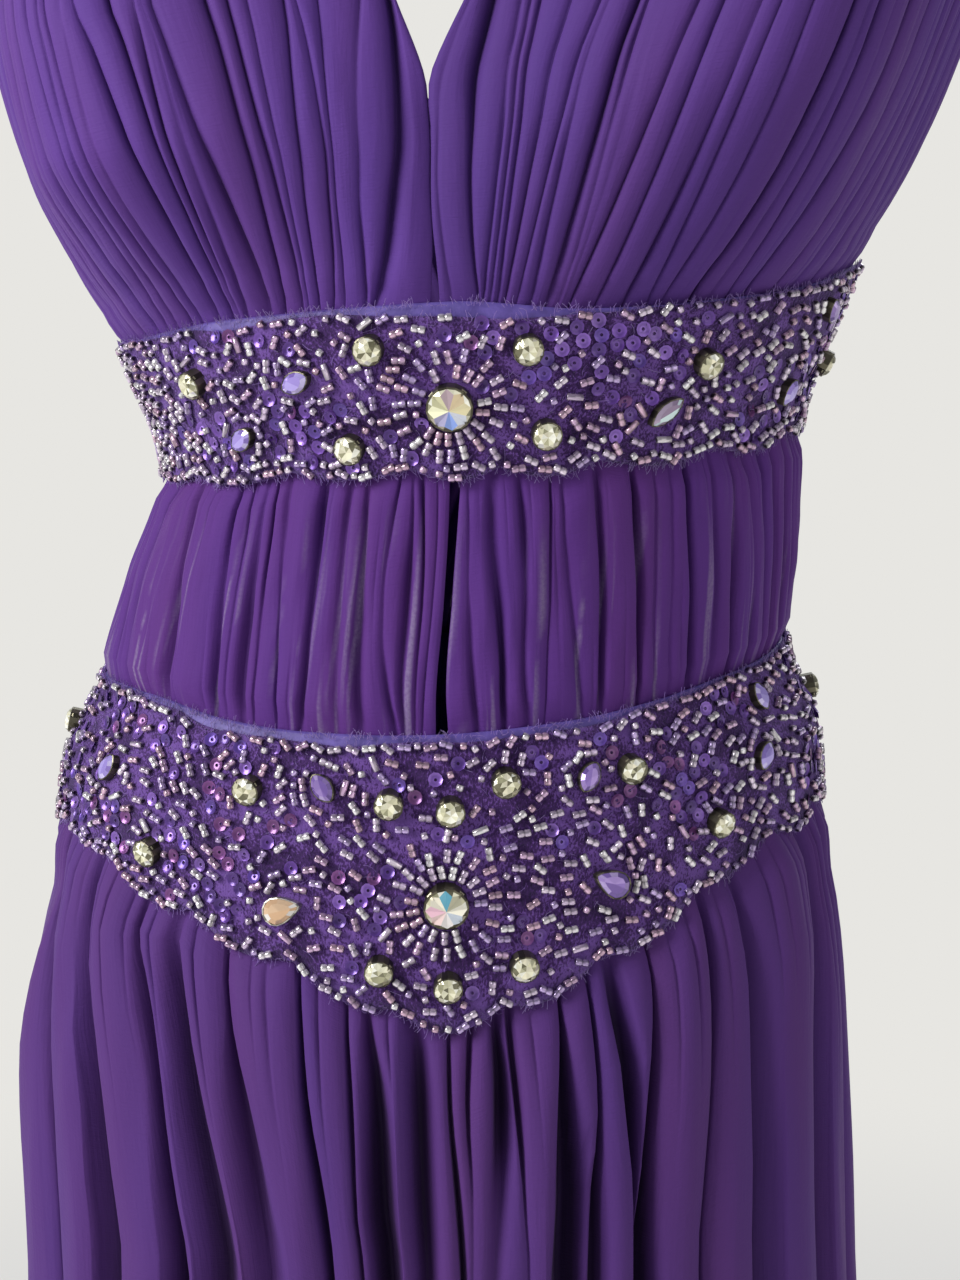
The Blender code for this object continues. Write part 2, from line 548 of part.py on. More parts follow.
def mirrored(gathers):
    """The same gathers on the other side, in rising order."""
    return [Gather(-g.low, -g.high, g.depth) for g in reversed(gathers)]


def make_midriff(name, gathers, start, end, crest=CREST):
    """Gathered cloth between the belts, tucked in behind both."""
    low, high, relief = fold_columns(gathers, start, end, crest, NARROW_ANGLE)
    z, out, angles = [], [], []
    for span in SPANS:
        angle = high + (low - high) * span.part
        above, below = lower_edge(UPPER_BELT, angle), edge("hip_top", angle)
        z.append(above + (below - above) * span.part + span.tuck)
        out.append(span.out + relief * span.relief)
        angles.append(angle)
    z, out, angles = np.array(z), np.array(out), np.array(angles)
    return wall(name, "chiffon", on_form(angles, z, out), on_form(angles, z, out - WALL))


def make_midriffs():
    """Four gathered panels; the two in front leave a narrow open gap between them."""
    top, bottom = MIDRIFF_GAP
    front = 90 - SIDE_SEAM
    back = (90 + SIDE_SEAM, 180 - SIDE_SEAM)
    make_midriff("midriff_front_left", MIDRIFF_LEFT, (-front, -front), (-bottom, -top))
    make_midriff("midriff_front_right", MIDRIFF_RIGHT, (bottom, top), (front, front))
    left = ((-back[1], -back[1]), (-back[0], -back[0]))
    right = ((back[0], back[0]), (back[1], back[1]))
    make_midriff("midriff_back_left", mirrored(MIDRIFF_BACK), *left, crest=BACK_CREST)
    make_midriff("midriff_back_right", MIDRIFF_BACK, *right, crest=BACK_CREST)


def make_skirt(name, gathers, start, end, crest=CREST):
    """A gathered skirt piece that hangs from the hip belt's lower edge to the hem."""
    low, high, relief = fold_columns(gathers, (start, start), (end, end), crest, NARROW_ANGLE)
    z, out, angles = [], [], []
    for drop in DROPS:
        angle = low + (high - low) * drop.drift
        top = lower_edge(HIP_BELT, angle)
        part = max(drop.below, 0) / SKIRT_LENGTH
        z.append(top - part * (top - HEM) - min(drop.below, 0))
        out.append(drop.out + relief * drop.relief)
        angles.append(angle)
    z, out, angles = np.array(z), np.array(out), np.array(angles)
    return wall(name, "chiffon", on_form(angles, z, out), on_form(angles, z, out - SKIRT_WALL))


def make_skirts():
    """The front, and the two halves of the back that meet at the centre-back seam."""
    front = 90 - SIDE_SEAM
    back = (90 + SIDE_SEAM, 180 - SIDE_SEAM)
    make_skirt("skirt_front", SKIRT_FRONT, -front, front)
    make_skirt("skirt_back_left", mirrored(SKIRT_BACK), -back[1], -back[0], BACK_CREST)
    make_skirt("skirt_back_right", SKIRT_BACK, back[0], back[1], BACK_CREST)


def belt_surface(belt, angle):
    """The posed outer points of the belt piece at an angle, and its first and last angle."""
    for start, end in belt_pieces(belt).values():
        if start <= angle <= end:
            return stand(belt_grid(belt, start, end, BELT_OUTSIDE)), start, end
    raise ValueError("no belt at this angle")


def seat(belt, angle, z):
    """Point, sideways direction, upward direction and normal on a belt's faceted outer face."""
    grid, start, end = belt_surface(belt, angle)
    flat = belt_grid(belt, start, end, BELT_OUTSIDE)[..., 2]
    columns = belt_columns(belt, start, end)
    col = int(np.clip(np.searchsorted(columns, angle) - 1, 0, len(columns) - 2))
    across = (angle - columns[col]) / (columns[col + 1] - columns[col])
    heights = flat[:, col] * (1 - across) + flat[:, col + 1] * across
    row = int(np.clip(np.searchsorted(-heights, -z) - 1, 0, len(heights) - 2))
    down = (heights[row] - z) / (heights[row] - heights[row + 1])
    near = grid[row, col:col + 2]
    far = grid[row + 1, col:col + 2]
    point = (near[0] * (1 - across) + near[1] * across) * (1 - down)
    point = point + (far[0] * (1 - across) + far[1] * across) * down
    sideways = near[1] - near[0]
    sideways = sideways / np.linalg.norm(sideways)
    upward = near[0] - far[0]
    upward = upward - sideways * np.dot(upward, sideways)
    upward = upward / np.linalg.norm(upward)
    return point, sideways, upward, np.cross(sideways, upward)


def stone_outline(cut, lean):
    """Sideways and upward places of a stone's outline, round its centre."""
    turn = np.arange(cut.sides) * 2 * math.pi / cut.sides + math.pi / cut.sides
    long = cut.length / 2 * np.cos(turn)
    wide = cut.width / 2 * np.sin(turn) * (1 - cut.taper * np.cos(turn))
    tilt = math.radians(lean)
    sideways = wide * math.cos(tilt) + long * math.sin(tilt)
    upward = long * math.cos(tilt) - wide * math.sin(tilt)
    return sideways, upward


def make_stone(stone):
    """A stone in its setting, seated on the belt's outer face."""
    cut = CUTS[stone.kind]
    point, right, up, normal = seat(stone.belt, stone.angle, stone.z)
    sideways, upward = stone_outline(cut, stone.lean)
    degrees = math.degrees(1 / np.linalg.norm(point[:2]))
    rise = [np.dot(seat(stone.belt, stone.angle + s * degrees, stone.z + u)[0] - point, normal)
            for s, u in zip(sideways, upward)]
    floor = SEAM + max(0.0, *rise)
    bm = bmesh.new()
    rings = []
    for size, height in STONE_RINGS:
        lift = floor + height * cut.height
        corners = [point + right * s * size + up * u * size + normal * lift
                   for s, u in zip(sideways, upward)]
        rings.append([bm.verts.new(corner) for corner in corners])
    for low, high in zip(rings[:-1], rings[1:]):
        for i in range(cut.sides):
            j = (i + 1) % cut.sides
            bm.faces.new((low[i], low[j], high[j], high[i]))
    bm.faces.new(rings[0])
    bm.faces.new(rings[-1])
    bmesh.ops.triangulate(bm, faces=bm.faces)
    return add_object(stone.name, cut.finish, bm)


def main():
    clear_scene()
    make_bodice()
    make_belt(UPPER_BELT)
    make_midriffs()
    make_belt(HIP_BELT)
    make_skirts()
    for stone in STONES:
        make_stone(stone)


main()
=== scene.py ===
"""Looks of the purple chiffon gown: gathered chiffon, two belts of satin and lace, beads and stones.

Metres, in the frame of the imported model: +Z up, the front towards -Y, left and right as seen
from the front. The cloth is worked out on the same form, and with the same main folds, as the
solids that it replaces, and is then made finer.
"""
import json
import math
from collections import namedtuple
from functools import partial

import bpy
import numpy as np
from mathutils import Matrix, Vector

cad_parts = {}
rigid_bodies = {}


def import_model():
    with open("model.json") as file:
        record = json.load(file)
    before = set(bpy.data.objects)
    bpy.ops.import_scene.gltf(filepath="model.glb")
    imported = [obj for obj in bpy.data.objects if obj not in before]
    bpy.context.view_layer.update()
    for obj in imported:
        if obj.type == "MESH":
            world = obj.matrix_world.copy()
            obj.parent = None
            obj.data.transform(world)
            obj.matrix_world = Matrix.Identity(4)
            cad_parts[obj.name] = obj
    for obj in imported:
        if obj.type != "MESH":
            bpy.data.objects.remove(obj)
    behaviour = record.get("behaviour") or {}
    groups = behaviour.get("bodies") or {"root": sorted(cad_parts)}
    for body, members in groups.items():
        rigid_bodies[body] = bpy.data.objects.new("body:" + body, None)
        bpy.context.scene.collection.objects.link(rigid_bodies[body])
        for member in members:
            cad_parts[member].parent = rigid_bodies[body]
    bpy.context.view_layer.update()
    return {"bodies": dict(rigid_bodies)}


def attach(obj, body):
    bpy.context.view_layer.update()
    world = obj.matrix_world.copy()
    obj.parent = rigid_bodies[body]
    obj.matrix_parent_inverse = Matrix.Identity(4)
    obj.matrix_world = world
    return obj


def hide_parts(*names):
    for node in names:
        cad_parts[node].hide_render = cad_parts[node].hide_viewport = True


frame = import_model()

BODY = next(iter(frame["bodies"]))
MILLIMETRE = 0.001

# Driving dimensions, the same as the solids'
HEM = -1.430
SKIRT_LENGTH = 0.955
TUCK = 0.006                 # how far gathered cloth runs in behind a belt
TUCK_OUT = 0.0020            # how far tucked cloth stands off the form
SEAM = 0.0003                # the gap between two panels at a seam
BELT_OUT = 0.0040            # how far the satin's face stands off the form
SHELL = 0.0006               # thickness of the chiffon
SIDE_IN = 0.0095             # how far the skirt's sides sit inside its front and back

# The general figure under the cloth: an oval at each height, deeper or flatter behind
Form = namedtuple("Form", "z half_width front back")
FORM = (
    Form(-1.435, 0.212, 0.172, 0.176),
    Form(-0.900, 0.170, 0.132, 0.134),
    Form(-0.626, 0.153, 0.115, 0.117),
    Form(-0.510, 0.149, 0.108, 0.115),
    Form(-0.470, 0.1445, 0.105, 0.109),
    Form(-0.435, 0.1365, 0.101, 0.100),
    Form(-0.405, 0.133, 0.098, 0.091),
    Form(-0.375, 0.120, 0.094, 0.082),
    Form(-0.340, 0.1155, 0.092, 0.079),
    Form(-0.300, 0.109, 0.094, 0.080),
    Form(-0.250, 0.1255, 0.100, 0.085),
    Form(-0.240, 0.1285, 0.100, 0.085),
)

# How the worn form stands: moved sideways, tilted down to the left and turned, at each height
Stance = namedtuple("Stance", "z shift tilt turn")
STANCE = (
    Stance(-1.435, -0.004, 0.0, 0.0),
    Stance(-0.900, -0.006, 0.0, 0.0),
    Stance(-0.626, -0.009, 0.0, 1.0),
    Stance(-0.510, -0.012, 1.2, 2.5),
    Stance(-0.470, -0.011, 2.0, 2.5),
    Stance(-0.435, -0.0105, 2.6, 2.0),
    Stance(-0.405, -0.010, 2.6, 1.2),
    Stance(-0.375, -0.009, 2.5, 0.0),
    Stance(-0.340, -0.003, 3.2, -2.2),
    Stance(-0.300, 0.004, 4.4, -5.0),
    Stance(-0.250, 0.006, 6.5, -6.5),
    Stance(-0.185, 0.003, 6.5, -7.0),
    Stance(-0.120, 0.002, 5.0, -6.0),
    Stance(-0.060, 0.000, 3.0, -3.0),
    Stance(0.030, 0.000, 0.0, 0.0),
)

# Heights of the belts' edges round the form, by angle from the centre front
Edge = namedtuple("Edge", "angle upper_top upper_bottom hip_top hip_bottom")
EDGES = (
    Edge(-180, -0.2500, -0.2985, -0.3760, -0.4480),
    Edge(-135, -0.2500, -0.2985, -0.3750, -0.4350),
    Edge(-90, -0.2500, -0.2975, -0.3750, -0.4200),
    Edge(-62, -0.2480, -0.2975, -0.3735, -0.4210),
    Edge(-50, -0.2465, -0.2980, -0.3745, -0.4300),
    Edge(-35, -0.2450, -0.2975, -0.3790, -0.4410),
    Edge(-20, -0.2455, -0.2970, -0.3820, -0.4545),
    Edge(0, -0.2475, -0.2990, -0.3835, -0.4735),
    Edge(20, -0.2545, -0.3000, -0.3820, -0.4580),
    Edge(35, -0.2560, -0.3000, -0.3790, -0.4430),
    Edge(50, -0.2560, -0.3000, -0.3755, -0.4310),
    Edge(90, -0.2500, -0.2975, -0.3720, -0.4270),
    Edge(135, -0.2500, -0.2985, -0.3740, -0.4350),
    Edge(180, -0.2500, -0.2985, -0.3760, -0.4480),
)
BACK_NOTCHES = tuple(range(108, 181, 18))
Belt = namedtuple("Belt", "name top bottom notches scallop seed")
UPPER_BELT = Belt("upper_belt", "upper_top", "upper_bottom",
                  (-90, -72, -52, -27.5, -6.5, 7.5, 23.5, 45.5, 68, 90), 0.0035, 11)
HIP_BELT = Belt("hip_belt", "hip_top", "hip_bottom",
                (-90, -70, -52, -35.5, -20, -6.5, 7, 19.5, 35.5, 52, 70, 90), 0.0050, 12)

# Right bodice panels from just above the belt to the shoulder; the mound is the cup
Row = namedtuple("Row", "inner_x inner_y inner_z outer_x outer_y outer_z mound relief")
FRONT_ROWS = (
    Row(0.0014, -0.1035, -0.2400, 0.1330, 0.0000, -0.2400, 0.007, 0.80),
    Row(0.0002, -0.1035, -0.2200, 0.1435, -0.0010, -0.2240, 0.022, 1.00),
    Row(0.0002, -0.1005, -0.1880, 0.1580, -0.0190, -0.1930, 0.040, 1.00),
    Row(0.0110, -0.0965, -0.1550, 0.1690, -0.0370, -0.1580, 0.036, 1.00),
    Row(0.0270, -0.0880, -0.1150, 0.1740, -0.0460, -0.1170, 0.018, 0.95),
    Row(0.0460, -0.0740, -0.0650, 0.1690, -0.0450, -0.0720, 0.003, 0.85),
    Row(0.0640, -0.0430, -0.0200, 0.1550, -0.0300, -0.0360, 0.000, 0.75),
    Row(0.0720, -0.0002, 0.0040, 0.1480, -0.0002, -0.0180, 0.000, 0.60),
)
BACK_ROWS = (
    Row(0.0002, 0.0895, -0.2380, 0.1340, 0.0000, -0.2380, 0.000, 0.80),
    Row(0.0060, 0.0920, -0.2050, 0.1500, 0.0060, -0.2100, 0.000, 1.00),
    Row(0.0190, 0.0980, -0.1550, 0.1660, 0.0330, -0.1580, 0.000, 1.00),
    Row(0.0400, 0.0940, -0.0900, 0.1700, 0.0430, -0.0980, 0.000, 0.90),
    Row(0.0620, 0.0560, -0.0270, 0.1570, 0.0330, -0.0420, 0.000, 0.75),
    Row(0.0720, 0.0002, 0.0040, 0.1480, 0.0002, -0.0180, 0.000, 0.60),
)
CUP_CENTRE = 0.42            # part of the panel's width where its cup stands furthest out
CUP_SPREAD = 0.30
CUP_FORWARD = (0.30, -0.95)  # the way the cup stands out: to the side and forwards
LEFT_HEIGHTS = (-0.240, -0.224, -0.205, -0.185, -0.160, -0.100, -0.040, -0.010)
LEFT_INSETS = (0.0, 0.003, 0.008, 0.012, 0.015, 0.014, 0.008, 0.0)     # the left side sits closer
BODICE_GAP = 0.7             # half of the slit between the front panels at the belt, in degrees
# How far the panels' inner edges lie to the left of the middle at these heights
NECK_HEIGHTS = (-0.250, -0.235, -0.215, -0.198, -0.184, -0.172, -0.160, -0.128, -0.085, 0.0)
NECK_LEFT = (0.0040, 0.0022, 0.0010, -0.0006, -0.0003, 0.0, 0.0, 0.0, 0.0, 0.0)
NECK_RIGHT = (0.0041, 0.0042, 0.0036, 0.0028, 0.0034, 0.0020, 0.0009, 0.0, 0.0, 0.0)
NECK_BACK = (0.0, 0.0, 0.0, 0.003, 0.009, 0.013, 0.0155, 0.0155, 0.009, 0.0)
BELT_RISE_FADE = 0.050       # the panel's rows stop following the belt's edge this far up
MIDRIFF_OUT = 0.0048         # how far the midriff's cloth stands off the form
MIDRIFF_GAP = (1.7, 1.2, 1.2, 1.8)      # the gap at the centre front in degrees, top to bottom
GAP_MIDDLE = 0.35            # where that gap's middle is, in degrees

# Creases between the folds of the gathered cloth. places: across the piece at its levels;
# depths: millimetres; left and right: half-widths of the valley's sides in millimetres; roll: how
# far the fold on its left (or, below zero, its right) lies over it. A single depth or half-width
# holds at every level.
Crease = namedtuple("Crease", "places depths left right roll", defaults=(0.9, 0.9, 0.0))


def valley(places, widths, depths):
    """A crease as wide on its left as on its right."""
    return Crease(places, depths, widths, widths)


# Bodice panels: parts of the panel's width at these heights above the belt
BODICE_LEVELS = (0.006, 0.036, 0.068, 0.100)
BODICE_LEFT = (
    Crease((0.086, 0.048, 0.029, 0.000),
           (4.5, 5.5, 5.5, 5.5), (4.0, 4.4, 3.0, 1.6), (1.2, 1.6, 1.8, 1.8)),
    Crease((0.104, 0.092, 0.076, 0.032), (2.6, 1.6, 0.6, 1.4)),
    Crease((0.137, 0.119, 0.109, 0.085), 1.5, 0.6, 1.0, 0.3),
    Crease((0.154, 0.128, 0.119, 0.114), (2.2, 2.8, 1.5, 1.0), 0.7, 1.0, 0.5),
    Crease((0.180, 0.158, 0.143, 0.125), 2.4, 0.6, 1.1, 0.5),
    Crease((0.201, 0.176, 0.174, 0.168), 1.2, 0.6, 0.8, 0.2),
    Crease((0.212, 0.187, 0.190, 0.189), (2.2, 3.2, 3.4, 3.0), 0.8, 1.3, 0.6),
    Crease((0.243, 0.211, 0.208, 0.214), 3.8, 0.8, 1.5, 0.7),
    Crease((0.275, 0.253, 0.262, 0.280), (3.2, 4.2, 2.6, 1.6), 1.5, 2.2, 0.4),
    Crease((0.320, 0.286, 0.276, 0.291), (2.6, 1.8, 0.4, 0.2), 1.4, 1.2),
    Crease((0.336, 0.302, 0.296, 0.300), (0.5, 3.2, 3.6, 0.3), 0.7, 1.2, 0.4),
    Crease((0.351, 0.318, 0.310, 0.334), 3.6, 0.7, 1.4, 0.6),
    Crease((0.383, 0.348, 0.347, 0.387), (3.0, 4.6, 4.0, 1.2), 0.9, 1.8, 0.8),
    Crease((0.431, 0.401, 0.397, 0.411), (1.6, 0.9, 0.2, 0.2)),
    Crease((0.457, 0.423, 0.421, 0.443), (2.2, 1.6, 1.0, 1.2), 0.7, 1.0, 0.3),
    Crease((0.498, 0.453, 0.444, 0.460), 0.9),
    Crease((0.528, 0.475, 0.466, 0.490), 1.0, 0.6, 0.8, 0.2),
    Crease((0.564, 0.530, 0.518, 0.530), 1.4, 0.7, 1.0, 0.3),
    Crease((0.615, 0.590, 0.572, 0.580), 1.7, 0.8, 1.1, 0.4),
    Crease((0.668, 0.645, 0.632, 0.640), 1.3),
    Crease((0.730, 0.716, 0.705, 0.712), 2.2, 0.9, 1.3, 0.4),
    Crease((0.790, 0.782, 0.776, 0.780), 1.6),
    Crease((0.850, 0.845, 0.842, 0.845), 2.6, 1.0, 1.4, 0.4),
    Crease((0.905, 0.902, 0.900, 0.902), 1.5),
    Crease((0.958, 0.957, 0.956, 0.957), 2.2),
)
BODICE_RIGHT = (
    Crease((0.014, 0.011, 0.010, 0.009), (1.0, 0.6, 0.3, 0.3)),
    Crease((0.054, 0.045, 0.045, 0.015),
           (2.4, 3.0, 5.0, 5.5), (0.6, 0.7, 1.0, 1.2), (0.6, 0.8, 1.8, 2.6)),
    Crease((0.064, 0.077, 0.085, 0.044), (1.8, 1.5, 1.2, 1.2), 0.8, 0.6),
    Crease((0.074, 0.087, 0.095, 0.057), 1.4, 0.7, 0.6),
    Crease((0.084, 0.096, 0.104, 0.070), 1.8, 0.7, 0.6),
    Crease((0.096, 0.116, 0.130, 0.118), (2.4, 2.2, 1.6, 2.0), 1.2, 0.7, -0.4),
    Crease((0.112, 0.137, 0.156, 0.159), 1.5, 0.8, 0.6, -0.3),
    Crease((0.131, 0.150, 0.166, 0.169), (2.0, 1.6, 0.4, 0.6), 0.9, 0.7),
    Crease((0.153, 0.179, 0.193, 0.196), (3.0, 3.8, 4.6, 4.2), 1.1, 2.2, 0.5),
    Crease((0.172, 0.198, 0.207, 0.211), (0.6, 0.5, 2.4, 1.6), 0.9, 0.7),
    Crease((0.193, 0.230, 0.264, 0.274), (2.4, 2.2, 1.8, 2.2), 1.3, 0.7, -0.5),
    Crease((0.231, 0.265, 0.293, 0.300), 2.0, 1.2, 0.7, -0.5),
    Crease((0.275, 0.308, 0.337, 0.344), (3.0, 2.2, 1.3, 1.3), 1.6, 0.8, -0.5),
    Crease((0.313, 0.331, 0.362, 0.368), (1.6, 1.5, 1.2, 1.2), 1.0, 0.7, -0.3),
    Crease((0.339, 0.378, 0.401, 0.405), (1.6, 1.3, 1.1, 0.8), 1.0, 0.7, -0.3),
    Crease((0.394, 0.441, 0.466, 0.471), (4.2, 3.8, 2.6, 1.6), 1.5, 0.8, -0.7),
    Crease((0.424, 0.462, 0.490, 0.496), (1.2, 1.0, 0.5, 0.3)),
    Crease((0.460, 0.485, 0.515, 0.520), (1.6, 2.0, 3.0, 1.6), 1.1, 0.8, -0.5),
    Crease((0.500, 0.544, 0.583, 0.590), (2.6, 3.0, 2.6, 3.4), 1.8, 0.9, -0.6),
    Crease((0.560, 0.608, 0.636, 0.640), 1.6, 1.0, 0.7, -0.3),
    Crease((0.615, 0.665, 0.690, 0.696), 1.3),
    Crease((0.675, 0.712, 0.730, 0.736), 2.0, 1.2, 0.8, -0.4),
    Crease((0.735, 0.758, 0.772, 0.778), 1.4),
    Crease((0.800, 0.816, 0.824, 0.828), 2.4, 1.2, 0.9, -0.4),
    Crease((0.868, 0.876, 0.880, 0.883), 1.5),
    Crease((0.935, 0.938, 0.940, 0.941), 2.2),
)
BODICE_BACK = (
    Crease((0.040, 0.036, 0.034, 0.032), 2.4, 1.0, 1.4, 0.3),
    Crease((0.092, 0.094, 0.096, 0.096), 1.3),
    Crease((0.135, 0.145, 0.150, 0.152), 2.8, 0.9, 1.5, 0.5),
    Crease((0.182, 0.196, 0.206, 0.212), (1.8, 1.4, 0.9, 0.6)),
    Crease((0.230, 0.244, 0.256, 0.264), 2.2, 0.8, 1.2, 0.4),
    Crease((0.276, 0.300, 0.316, 0.330), (3.4, 3.2, 2.6, 2.0), 0.9, 1.7, 0.6),
    Crease((0.330, 0.352, 0.368, 0.378), 1.4),
    Crease((0.372, 0.402, 0.424, 0.438), 2.4, 0.8, 1.3, 0.4),
    Crease((0.430, 0.456, 0.474, 0.484), (1.6, 1.2, 1.6, 1.8)),
    Crease((0.482, 0.512, 0.532, 0.544), 3.0, 0.9, 1.6, 0.5),
    Crease((0.545, 0.572, 0.590, 0.600), 1.3),
    Crease((0.602, 0.628, 0.644, 0.652), 2.4, 0.8, 1.3, 0.4),
    Crease((0.668, 0.690, 0.702, 0.708), 1.5),
    Crease((0.732, 0.748, 0.757, 0.762), 2.8, 0.9, 1.5, 0.4),
    Crease((0.800, 0.812, 0.818, 0.821), 1.4),
    Crease((0.868, 0.875, 0.879, 0.881), 2.4, 0.9, 1.3, 0.3),
    Crease((0.938, 0.941, 0.943, 0.944), 1.8),
)

# Midriff: degrees from the centre front, then widths and depths in millimetres, at these parts
# of its height from the upper belt down to the hip belt
MIDRIFF_LEVELS = (0.0, 0.2, 0.4, 0.6, 0.8, 1.0)
MIDRIFF_LEFT = (
    valley((-84, -85, -85, -84, -83.5, -83), 1.2, (1.8, 1.6, 1.2, 1.2, 1.6, 1.8)),
    valley((-76, -77, -77, -76, -75, -74), 1.8, (1.6, 1.4, 1.2, 1, 1.2, 1.4)),
    valley((-70, -71, -71, -70, -68.5, -68), 0.8, (1.4, 0.6, 0.6, 0.8, 0.6, 1)),
    valley((-62, -64, -65, -64.5, -62.5, -61.5),
           (2, 2.4, 2.4, 2, 1.8, 1.6), (1.8, 1.8, 1.2, 0.8, 0.8, 1)),
    valley((-51, -51.5, -50.5, -49, -48.5, -48),
           (2.6, 2, 1.8, 2.6, 2.8, 2.8), (1.8, 1.6, 1.8, 2.4, 2.2, 2)),
    valley((-39.5, -39.5, -39, -38, -37, -36.5),
           (1.2, 1.2, 1.8, 2, 2, 1.6), (2.8, 2.2, 1.6, 2, 2.8, 2.8)),
    valley((-36.5, -36, -35.5, -35, -34.5, -34), 0.6, (1.8, 0.8, 0.4, 0.4, 0.4, 0.4)),
    valley((-33, -33, -33, -32.5, -32, -31),
           (1, 1.6, 2.6, 2.8, 2.8, 1.8), (0.8, 1.2, 2.4, 3.2, 3.2, 2.8)),
    valley((-31, -30.5, -30, -29.5, -29, -29),
           (0.6, 0.6, 0.8, 0.8, 0.6, 0.6), (2.2, 2.2, 1.6, 0.6, 0.6, 1)),
    valley((-28.5, -28, -27, -26, -25.5, -25),
           (1.8, 1.6, 0.6, 0.6, 0.6, 0.6), (1.8, 1, 0.4, 0.6, 1, 1.2)),
    valley((-21.5, -21.5, -21, -21, -20.5, -21),
           (1.8, 2, 1.6, 1.2, 1.2, 1.6), (3.4, 3.2, 2.2, 1.8, 2, 2.8)),
    valley((-17, -17, -16.5, -16, -15.5, -15),
           (1.6, 1.6, 1.6, 1.8, 1.8, 1.8), (2.4, 1.6, 1, 0.8, 0.8, 0.8)),
    valley((-14, -13.5, -13, -13, -12, -11.5),
           (1.2, 1.2, 1.6, 2.2, 2.2, 2.4), (2, 1.6, 2, 2.8, 2.8, 2.8)),
    valley((-8.5, -9, -9.5, -9.5, -7.5, -6.5),
           (0.6, 0.8, 0.8, 1, 1.2, 1.4), (2, 0.8, 0.4, 0.4, 1.4, 2.8)),
    valley((-6.5, -6, -6, -6, -5.5, -5), (0.6, 0.8, 1.6, 1.8, 1.4, 1.2), (0.4, 1.2, 2.6, 2.6, 2, 2)),
    valley((-5, -4.5, -3.5, -3.5, -3.5, -3.5),
           (1.2, 0.6, 0.6, 0.6, 0.6, 0.6), (2.8, 2, 1.6, 1.2, 0.8, 0.8)),
    valley((-2.5, -2, -2, -2, -2, -2.5), 0.4, (0.6, 0.4, 0.4, 0.4, 0.6, 0.8)),
)
MIDRIFF_RIGHT = (
    valley((2.5, 3, 3, 4, 5, 5.5), (0.6, 0.6, 0.6, 1.2, 1.4, 1.2), (0.6, 0.4, 0.2, 1, 2, 2.8)),
    valley((6, 6.5, 7, 8.5, 9.5, 9.5), (2.8, 2.6, 2.4, 1.6, 1.2, 1.2), (2.4, 2.4, 2.4, 3.4, 4, 3.6)),
    valley((10.5, 11, 12, 12, 12.5, 13), (1.2, 1.6, 1.6, 1.2, 1.4, 1.6), (2, 2.4, 1.6, 1.4, 1.6, 2)),
    valley((15.5, 15.5, 15.5, 16, 16, 15.5),
           (0.6, 0.6, 0.6, 0.4, 0.4, 0.4), (2, 1.6, 1.2, 0.6, 0.6, 0.8)),
    valley((17.5, 17.5, 18.5, 19.5, 21, 21.5), (0.8, 0.8, 1, 1, 1.2, 1.2), (1, 0.8, 0.8, 1, 1.4, 1.4)),
    valley((23, 23.5, 24, 24.5, 25, 24.5), (2, 1.6, 1.2, 1.4, 1.2, 1.4), (2.4, 2.6, 3, 3.2, 3.2, 2.8)),
    valley((29.5, 30, 30.5, 31, 31.5, 31), (1.2, 1.4, 1.8, 1.6, 1, 0.8), (3.4, 3.8, 3.8, 3.6, 3, 2.8)),
    valley((33.5, 33.5, 33.5, 33.5, 34, 34), 0.8, (0.8, 0.6, 0.6, 0.6, 0.6, 0.6)),
    valley((36.5, 36.5, 36.5, 36.5, 37, 37),
           (0.8, 0.8, 0.8, 0.6, 0.8, 0.8), (0.6, 0.4, 0.4, 0.2, 0.4, 0.6)),
    valley((40, 40, 40.5, 41, 41.5, 41.5),
           (1.2, 1.2, 1.2, 1.2, 1.4, 1.8), (3.8, 3.8, 3.8, 3.8, 3.8, 3.4)),
    valley((45, 45.5, 46, 46.5, 46.5, 46.5), (1, 1.2, 1.6, 1.8, 2, 2), (1.2, 1, 1.6, 1.8, 1.6, 1.4)),
    valley((50.5, 51, 51, 51, 51.5, 51.5), (1.2, 1.2, 2.2, 1.8, 1.8, 1.8), (1, 1.4, 2, 2.8, 3.6, 3.6)),
    valley((54.5, 56, 56.5, 57, 57.5, 57.5), (2, 1.4, 1.2, 1.4, 2.4, 2.6), (2, 0.4, 0.4, 0.6, 2.2, 2.8)),
    valley((60, 60, 61, 61, 62, 62), (2.2, 2, 1.6, 1.2, 1.2, 1.2), (2.8, 1.8, 1.4, 1, 1, 1)),
    valley((64, 64.5, 65, 65, 65.5, 65.5), (1.2, 2.4, 2.6, 2.6, 2.6, 2.6), (1.4, 2, 2.4, 2.8, 2.8, 2.8)),
    valley((70, 70, 69.5, 70, 71, 71), (2, 2.2, 2.4, 2.4, 2.4, 2.4), (2, 2.2, 2.8, 3.2, 2.8, 2.8)),
    valley((76, 75.5, 75, 75, 76, 76), 1.4, (1.4, 1.4, 1.2, 1.2, 1.2, 1.2)),
    valley((83, 82.5, 82.5, 82.5, 83, 83), 1.6, (2, 1.8, 1.6, 1.6, 1.8, 2)),
)
